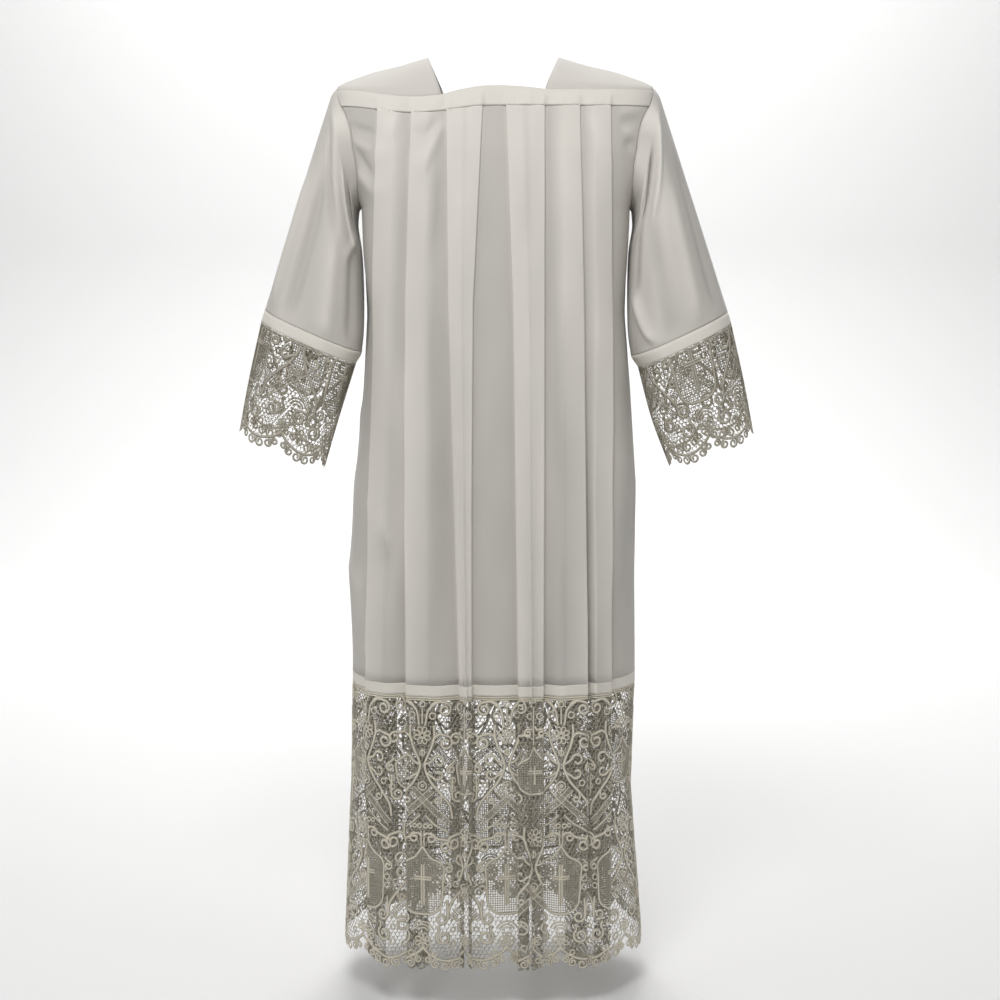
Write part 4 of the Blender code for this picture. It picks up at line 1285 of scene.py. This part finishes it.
# %% Flowers, bands and tables of figures
def draw_flower(x, down, radius, petals, column):
    for number in range(petals):
        turn = math.tau * (number + 0.5) / petals
        round_petal = np.radians(np.linspace(0, 360, 8))
        out = radius * (0.64 + 0.34 * np.cos(round_petal))
        aside = radius * 0.24 * np.sin(round_petal)
        petal_x = out * math.cos(turn) - aside * math.sin(turn)
        petal_down = out * math.sin(turn) + aside * math.cos(turn)
        lay(np.stack([petal_x, petal_down], axis=1), 3.0, column + x, down, pair=False)
    lay(ring_line(0, 0, radius * 0.2), 2.6, column + x, down, pair=False)


def draw_band(row, column, drop):
    start, end = np.array([row.x_start, row.down_start]), np.array([row.x_end, row.down_end])
    length = np.hypot(*(end - start))
    run = (end - start) / length
    side = np.array([-run[1], run[0]])
    steps = round(length / NET)
    for aside in (-BAND_HALF, -BAND_HALF / 3, BAND_HALF / 3, BAND_HALF):
        line = start + side * aside + run * np.linspace(0, length, steps + 1)[:, None]
        fine = abs(aside) != BAND_HALF
        lay(line, BAR_THREAD if fine else BAND_TAPE, column, drop, fine=fine)
    for number in range(1, steps):
        middle = start + run * length * number / steps
        rung = middle + side * BAND_HALF * np.linspace(-1, 1, 3)[:, None]
        lay(rung, BAR_THREAD, column, drop, fine=True)


def draw_rows(rows, column, drop):
    """Draws a table of figures at a column, this far down."""
    for row in rows:
        if isinstance(row, Stem):
            lay(smooth_line(row.points), row.wide, column, drop, pair=any(x for x, _ in row.points))
        elif isinstance(row, Scroll):
            draw_scroll(row, column, drop)
        elif isinstance(row, Eye):
            draw_eye(row, column, drop)
        else:
            draw_band(row, column, drop)


print("figures: stem, scroll, eye, flower, band")

# %% [markdown]
# The tables below give each figure on one side of its column, and the drawing mirrors it. The lyre
# hangs from a flower. Under it two bands of net cross, and then comes an arched window.

# %% The lyre, the crossing and the ground
LYRE = (
    Stem(5.6, (
        (19, -17), (20, 0), (15, 19), (6, 40), (3.6, 48),
        (6, 59), (14, 75), (30, 94), (46, 117), (49, 136),
    )),
    Scroll(5.3, ((17, 10), (21, 2), (27, -2)), 38.5, 13, 13, 1.3, 1),
    Scroll(5.0, ((5, 46), (12, 44), (17, 40)), 27, 42, 11, 0.95, 1),
    Scroll(5.0, ((7, 60), (12, 64), (16, 66)), 26, 63, 10, 0.85, -1),
    Eye(35, 80, 4.6),
    Eye(0, 82, 7.0),
    Eye(0, 82, 2.0),
    Stem(4.0, ((0, 20), (0, 34))),
    Eye(0, 28, 4.2),
    Scroll(4.7, ((30, 94), (31, 100)), 25, 105, 6.5, 1.1, 1),
)
CROSSING = (
    Band(-17, -26, 46, 34),
    Stem(3.7, ((2.5, 42), (2.5, 54), (2.5, 66))),
    Scroll(4.7, ((2.5, 50), (6, 46)), 14, 54, 8, 1.3, 1),
    Scroll(5.3, ((13, 44), (24, 54)), 37.5, 68, 12, 1.3, 1),
    Eye(5, 34, 3.4),
    Eye(13, 34, 3.0),
    Stem(4.0, ((4, 16), (16, 28), (30, 38), (43, 46))),
)
HEADING = (
    Stem(4.7, ((5, 46), (12, 18), (26, 8))),
    Scroll(5.3, ((12, 20), (20, 9), (28, 8)), 37, 21, 12, 1.35, 1),
    Scroll(4.7, ((66, 2), (68, 5)), 64, 17, 10, 1.3, 1),
    Eye(17, 30, 5.0),
    Eye(0, 12, 4.4),
    Stem(3.7, ((0, 18), (0, 44))),
)
UPPER_LOOPS = (
    Stem(3.7, ((0, 14), (0, 76))),
    Scroll(4.7, ((2, 46), (5, 52)), 13, 58, 8, 1.3, 1),
    Scroll(5.3, ((4, 66), (18, 60), (27, 62)), 35, 70, 10, 1.2, 1),
    Eye(10, 30, 5.0),
    Eye(0, 5, 3.4),
)
draw_rows(HEADING, 0, 0)
draw_rows(UPPER_LOOPS, COLUMN, 0)
# Each column's place across, its flower's place down, and how far below it the bands cross.
LYRE_TOPS = ((0.0, 62.0, 113.0), (COLUMN, 226.0, 104.0))
for column, flower, crossing in LYRE_TOPS:
    draw_flower(0, flower, 15.0, 8, column)
    draw_rows(LYRE, column, flower)
    draw_rows(CROSSING if column == 0 else CROSSING[:1], column, flower + crossing)
print("tapes", len(tapes), "threads", len(threads))

# %% [markdown]
# A window is an arch of tape with a filet net inside it. Its cross is plain: one upright and one
# shorter bar, darned close, as on any altar cloth.

# %% Windows of filet
WINDOW_WIDE = 33.0
Window = namedtuple("Window", "column top high")
WINDOWS = (Window(0.0, 242.0, 112.0), Window(COLUMN, 80.0, 76.0))


def window_outline(high):
    """One side of a window, from its peak to the middle of its foot."""
    arch = [(0, 0), (5, 8), (14, 19), (26, 25), (WINDOW_WIDE, 32), (WINDOW_WIDE, (high + 2) / 2)]
    foot = [(0.97, high - 30), (0.86, high - 12), (0.5, high - 2), (0, high)]
    return arch + [(part * WINDOW_WIDE, down) for part, down in foot]


def draw_net(row):
    """The square net inside a window, as threads from knot to knot."""
    rim = smooth_line(window_outline(row.high))
    downs = np.arange(NET, row.high, NET)
    half = np.interp(downs, rim[:, 1], rim[:, 0])
    for down, reach in zip(downs, half):
        count = max(2, round(2 * reach / NET) + 1)
        line = np.stack([np.linspace(-reach, reach, count), np.full(count, down)], axis=1)
        lay(line, NET_THREAD, row.column, row.top, pair=False, fine=True)
    for x in np.arange(-math.floor(WINDOW_WIDE / NET) * NET, WINDOW_WIDE, NET):
        inside = downs[half > abs(x)]
        if len(inside) > 1:
            line = np.stack([np.full(len(inside), x), inside], axis=1)
            lay(line, NET_THREAD, row.column, row.top, pair=False, fine=True)


print("windows are", 2 * WINDOW_WIDE, "mm wide")

# %% The windows' crosses and sides
def draw_window(row):
    lay(smooth_line(window_outline(row.high)), 4.6, row.column, row.top)
    draw_net(row)
    top, foot = 30.0, row.high - 16.0
    bar = top + 0.34 * (foot - top)
    for aside in (-1.9, 1.9):  # two tapes side by side make each bar of the cross
        upright = np.stack([np.full(16, aside), np.linspace(top, foot, 16)], axis=1)
        across = np.stack([np.linspace(-14, 14, 9), np.full(9, bar + aside)], axis=1)
        for line in (upright, across):
            lay(line, 3.9, row.column, row.top, pair=False)
    sides = (
        Scroll(4.7, ((36, 24), (40, 28)), 42.5, 38, 7.5, 1.3, 1),
        Eye(40, 56, 4.8),
        Eye(40, 70, 4.6),
        Scroll(5.0, ((40, row.high - 24), (41, row.high - 8)), 31, row.high + 6, 11, 1.3, 1),
    )
    draw_rows(sides, row.column, row.top)


for row in WINDOWS:
    draw_window(row)
print("windows", len(WINDOWS))

# %% [markdown]
# The foot of the lace has a shell and a flower under one window, two large rings beside the other
# column, and a scalloped border tape with a row of hanging loops.

# %% The foot and its loops
Loop = namedtuple("Loop", "x radius hand")
LOOPS = (
    Loop(8, 6.5, 1), Loop(21, 7.5, -1), Loop(37, 9.0, 1),
    Loop(55, 9.0, -1), Loop(70, 7.5, 1), Loop(82, 6.5, -1),
)
SHELL_DOWN = 384.0
for reach in (8.0, 13.0, 18.0):
    turn = np.radians(np.linspace(200, 340, 9))
    lay(np.stack([reach * np.cos(turn), SHELL_DOWN + reach * np.sin(turn)], axis=1), 3.2, pair=False)
draw_flower(0, 398.0, 14.0, 8, 0.0)
draw_flower(0, 396.0, 11.0, 6, COLUMN)
FOOT = (
    Scroll(5.3, ((24, 372), (27, 380)), 34, 392, 13, 1.3, -1),
    Scroll(5.0, ((52, 356), (56, 366)), 66, 376, 13, 1.35, 1),
    Eye(49, 404, 5.0),
    Eye(50, 380, 4.0),
    Eye(20, 418, 4.0),
    Eye(70, 408, 5.0),
)
draw_rows(FOOT, 0, 0)
border_x = np.linspace(-COLUMN, COLUMN, 61)
lay(np.stack([border_x, edge_down(border_x) - BORDER], axis=1), 5.0, pair=False)
for row in LOOPS:
    down = edge_down(row.x) - row.radius + 1.5
    lay(curl_line(row.x, down, row.radius, -90, 1.4, row.hand, inner=0.25), 3.8)
top_x = np.linspace(-COLUMN, COLUMN, 49)
for down, wide in ((1.6, 4.2), (5.2, 3.0)):
    lay(np.stack([top_x, np.full_like(top_x, down)], axis=1), wide, pair=False)
print("tapes", len(tapes), "points", sum(len(line.points) for line in tapes))

# %% [markdown]
# What no tape covers is filled with a ground of fine bars in a honeycomb. A map of the covered
# places, one row and column for each half millimetre, says which bars are still needed.

# %% A map of what the tapes cover
MAP_STEP = 0.5
MAP_EDGE = 0.4  # a line covers this much more than its own width on each side
covered = np.zeros((round(LACE_DEEP / MAP_STEP) + 1, round(REPEAT / MAP_STEP)), bool)


def cover(x, down, reach):
    """Marks a round place on the map, which repeats across."""
    spread = np.arange(-reach, reach + MAP_STEP, MAP_STEP)
    aside, below = np.meshgrid(spread, spread)
    near = np.hypot(aside, below) <= reach
    columns = np.round((x + COLUMN + aside[near]) / MAP_STEP).astype(int) % covered.shape[1]
    rows = np.clip(np.round((down + below[near]) / MAP_STEP).astype(int), 0, covered.shape[0] - 1)
    covered[rows, columns] = True


def is_covered(x, down):
    column = round((x + COLUMN) / MAP_STEP) % covered.shape[1]
    return covered[min(round(down / MAP_STEP), covered.shape[0] - 1), column]


for line in tapes + threads:
    for (x, down), (to_x, to_down) in zip(line.points, line.points[1:]):
        for part in (0.0, 0.5):
            cover(x + (to_x - x) * part, down + (to_down - down) * part, line.wide / 2 + MAP_EDGE)

print("share covered by tape", round(float(covered.mean()), 2))

# %% The honeycomb ground
CELL = 7.2  # from side to side of a honeycomb cell
GROUND_TOP = 6.0  # the ground starts under the heading's tapes
reach = CELL / math.sqrt(3)
ground = 0
for row in range(math.ceil(LACE_DEEP / (1.5 * reach))):
    for column in range(round(REPEAT / CELL) + 1):
        x = -COLUMN + CELL * (column + 0.5 * (row % 2))
        down = 1.5 * reach * row
        for turn in (-30, 30, 90):
            near = math.radians(turn - 30), math.radians(turn + 30)
            ends = np.array([(x + reach * math.cos(a), down + reach * math.sin(a)) for a in near])
            x_middle, down_middle = ends.mean(axis=0)
            in_reach = GROUND_TOP <= down_middle <= edge_down(x_middle) - BORDER
            if -COLUMN <= x_middle < COLUMN and in_reach and not is_covered(x_middle, down_middle):
                threads.append(Line(ends, BAR_THREAD))
                ground += 1
print("ground bars", ground)

# %% [markdown]
# Each line becomes a spline of one flat curve, whose bevel is a low arch for a tape and a rounder one
# for a thread. The curve turns into a mesh, Array repeats it across the whole cut, and a plane cuts
# off what stands past each end.

# %% The flat repeat as a mesh
TAPE_ARCH = ((-0.5, 0.0), (0.0, 0.30), (0.5, 0.0))  # across and up, for a width of 1
THREAD_ARCH = ((-0.5, 0.0), (0.0, 0.70), (0.5, 0.0))


def flat_curve(name, lines, closed=False):
    """A flat curve with one straight-sided spline for each line."""
    curve = bpy.data.curves.new(name, "CURVE")
    curve.dimensions = "2D"
    curve.fill_mode = "NONE"
    for line in lines:
        spline = curve.splines.new("POLY")
        count = len(line.points)
        spline.points.add(count - 1)
        flat = np.zeros((count, 4), np.float32)
        flat[:, :2], flat[:, 3] = line.points, 1.0
        spline.points.foreach_set("co", flat.ravel())
        spline.points.foreach_set("radius", np.full(count, line.wide, np.float32))
        spline.use_cyclic_u = closed
    return add_object(name, curve)


def made_mesh(thing):
    """A mesh of what an object shows, with its modifiers or its bevel."""
    bpy.context.view_layer.update()
    return bpy.data.meshes.new_from_object(thing.evaluated_get(bpy.context.evaluated_depsgraph_get()))


def lines_mesh(name, lines, places, closed):
    """A mesh of many flat lines in the XY plane, each as wide as it says. Only tapes are closed."""
    arch = flat_curve(name + "_arch", [Line(places, 1.0)], closed)
    drawn = flat_curve(name, [Line(line.points * (MM, -MM), line.wide * MM) for line in lines])
    drawn.data.bevel_mode = "OBJECT"
    drawn.data.bevel_object = arch
    drawn.data.use_fill_caps = closed
    mesh = made_mesh(drawn)
    mesh.name = name
    for thing in (drawn, arch):
        data = thing.data
        bpy.data.objects.remove(thing)
        bpy.data.curves.remove(data)
    return mesh


TAPE_MESH = lines_mesh("lace_tapes", tapes, TAPE_ARCH, True)
THREAD_MESH = lines_mesh("lace_threads", threads, THREAD_ARCH, False)
print("faces of tape", len(TAPE_MESH.polygons), "and of thread", len(THREAD_MESH.polygons))

# %% [markdown]
# The flat lace is now laid on the garment. A point's place across the cut picks a column of the same
# rows that the cloth above follows, so the lace turns round every pleat, and its height above the
# flat becomes its distance out of the surface.

# %% Repeating the lace across a cut
REACH = 0.8  # a repeat's figures reach less than this many repeats to either side of its middle
RIM_TAPE, TOP_TAPE = 2.4, 2.8


def repeated_mesh(name, source, start, end, phase, upper):
    """The repeat's copies between two places across, cut off at both and above a place down.
    The pattern's own middle lies at the phase."""
    first = math.floor((start - phase) / (REPEAT * MM) - REACH)
    count = math.ceil((end - phase) / (REPEAT * MM) + REACH) - first + 1
    tile = add_object(name, source.copy())
    repeat = tile.modifiers.new("repeat", "ARRAY")
    repeat.count = count
    repeat.use_relative_offset = False
    repeat.use_constant_offset = True
    repeat.constant_offset_displace = (REPEAT * MM, 0, 0)
    mesh = made_mesh(tile)
    bpy.data.objects.remove(tile)
    work = bmesh.new()
    work.from_mesh(mesh)
    bmesh.ops.translate(work, verts=work.verts, vec=(phase + first * REPEAT * MM, 0, 0))
    cuts = [((start, 0, 0), (-1, 0, 0)), ((end, 0, 0), (1, 0, 0))]
    if upper:
        cuts.append(((0, -upper, 0), (0, 1, 0)))
    for place, normal in cuts:
        geometry = work.verts[:] + work.edges[:] + work.faces[:]
        bmesh.ops.bisect_plane(work, geom=geometry, plane_co=place, plane_no=normal, clear_outer=True)
    work.to_mesh(mesh)
    work.free()
    return mesh


def rim_lines(start, end, deep):
    """The narrow tapes that finish a cut of lace at its two ends and along its top."""
    down = np.linspace(0.8, deep - EDGE_RISE, round(deep / 5))
    lines = []
    for x in (start / MM + RIM_TAPE / 2, end / MM - RIM_TAPE / 2):
        lines.append(Line(np.stack([np.full_like(down, x), down], axis=1), RIM_TAPE))
    along = np.arange(start / MM, end / MM, 3.6)
    return [*lines, Line(np.stack([along, np.full_like(along, TOP_TAPE / 2)], axis=1), TOP_TAPE)]


print("a repeat is", REPEAT, "mm wide")

# %% Laying the lace on the folds
LACE_SET = 0.0004  # the lace's back lies this far inside the wall's middle
# Painted shade of a line along its ridge and at its edges: tapes darker at their edges and flat
# backs, as in the shade of their own cords and of the garment's inside; threads darker all over,
# partly their own duller tone and partly painted shade.
LACE_PAINTED_SHADE = {"lace_tapes": (0.0, 0.60), "lace_threads": (0.45, 1.0)}
RIDGE_HIGH = 0.0002  # what stands higher than this off the lace's back is its ridge


def lay_on_rows(mesh, places, across, down, outwards, shift, tones):
    """Moves a flat mesh onto rows of places, keeps its flat places as the cut's UV map, and paints
    shade on it with the given tones, one for its ridge and one for its edges and back.
    """
    flat = mesh_places(mesh).astype(float)
    x, y, height = flat[:, 0], -flat[:, 1] - shift, flat[:, 2]
    normals = grid_normals(places) * outwards
    column = np.clip(np.searchsorted(across, x, side="right") - 1, 0, len(across) - 2)
    row = np.clip(np.searchsorted(down, y, side="right") - 1, 0, len(down) - 2)
    part = ((x - across[column]) / (across[column + 1] - across[column]))[:, None]
    drop = ((y - down[row]) / (down[row + 1] - down[row]))[:, None]

    def read_grid(grid):
        upper = grid[row, column] * (1 - part) + grid[row, column + 1] * part
        lower = grid[row + 1, column] * (1 - part) + grid[row + 1, column + 1] * part
        return upper * (1 - drop) + lower * drop

    moved = read_grid(places) + read_grid(normals) * (height - LACE_SET)[:, None]
    mesh.vertices.foreach_set("co", moved.astype(np.float32).ravel())
    while mesh.uv_layers:
        mesh.uv_layers.remove(mesh.uv_layers[0])
    # Painted shade: the ridge gets the first tone, the edges and back the second.
    keep_cut(mesh, flat[:, :2], np.where(height > RIDGE_HIGH, *tones))
    mesh.update()


print("tones of lace", LACE_PAINTED_SHADE)

# %% The hem's lace
def lace_piece(name, node, places, down, outwards, phase, deep):
    """One cut of lace on a grid of places: the repeat, and the tapes that finish its rim."""
    across = lengths_along(places[0])
    across = across - across[-1] / 2
    start, end = across[0] + SEAM / 2, across[-1] - SEAM / 2
    upper = max(0.0, LACE_DEEP - deep) * MM
    rim = lines_mesh(name + "_rim", rim_lines(start, end, deep), TAPE_ARCH, True)
    layers = [(repeated_mesh(name, source, start, end, phase, upper), upper, LACE_PAINTED_SHADE[source.name])
              for source in (TAPE_MESH, THREAD_MESH)]
    work = bmesh.new()
    for part, shift, tones in [*layers, (rim, 0.0, LACE_PAINTED_SHADE["lace_tapes"])]:
        lay_on_rows(part, places, across, down, outwards, shift, tones)
        work.from_mesh(part)
        bpy.data.meshes.remove(part)
    mesh = bpy.data.meshes.new(name)
    work.to_mesh(mesh)
    work.free()
    mesh.materials.clear()
    mesh.shade_smooth()
    print(name, "faces", len(mesh.polygons))
    garment_piece(name, mesh, LACE, [node])


HEM_ROOM = 0.006  # the grid reaches this far below the edge, for the loops
for side, word in SIDES:
    heights = np.linspace(SKIRT_HEM_FOOT - SEAM, LACE_FOOT - HEM_ROOM, 30)
    names = word + "_tape_lace", word + "_hem_lace"
    lace_piece(*names, panel_places(side, heights), heights[0] - heights, -side * 1.0, 0.0, LACE_DEEP)

# %% Cuff lace
CUFF_SET = 0.0008  # the lace starts this far below the hem
CUFF_ROOM = 0.004
for hand, word in HANDS:
    table = SLEEVES[hand][6:]
    middles = np.array([np.add(*ring_ends(hand, ring)) / 2 for ring in table])
    deep = float(np.linalg.norm(np.diff(middles, axis=0), axis=1).sum()) - CUFF_SET
    parts = np.linspace(CUFF_SET / deep, 1.0 + CUFF_ROOM / deep, 22)
    down = parts * (deep + CUFF_SET) - CUFF_SET
    for side, half in SIDES:
        at = np.linspace(0 if side == FRONT else 360, 180, 97)
        places = creased_rings(hand, table, at, parts, np.ones(len(parts)))
        outwards, phase = (-1.0, COLUMN * MM) if hand == side else (1.0, 0.0)
        names = f"{word}_cuff_tape_lace_{half}", f"{word}_cuff_lace_{half}"
        lace_piece(*names, places, down, outwards, phase, deep / MM)
print("cuffs are", round(deep, 3), "m deep in lace")
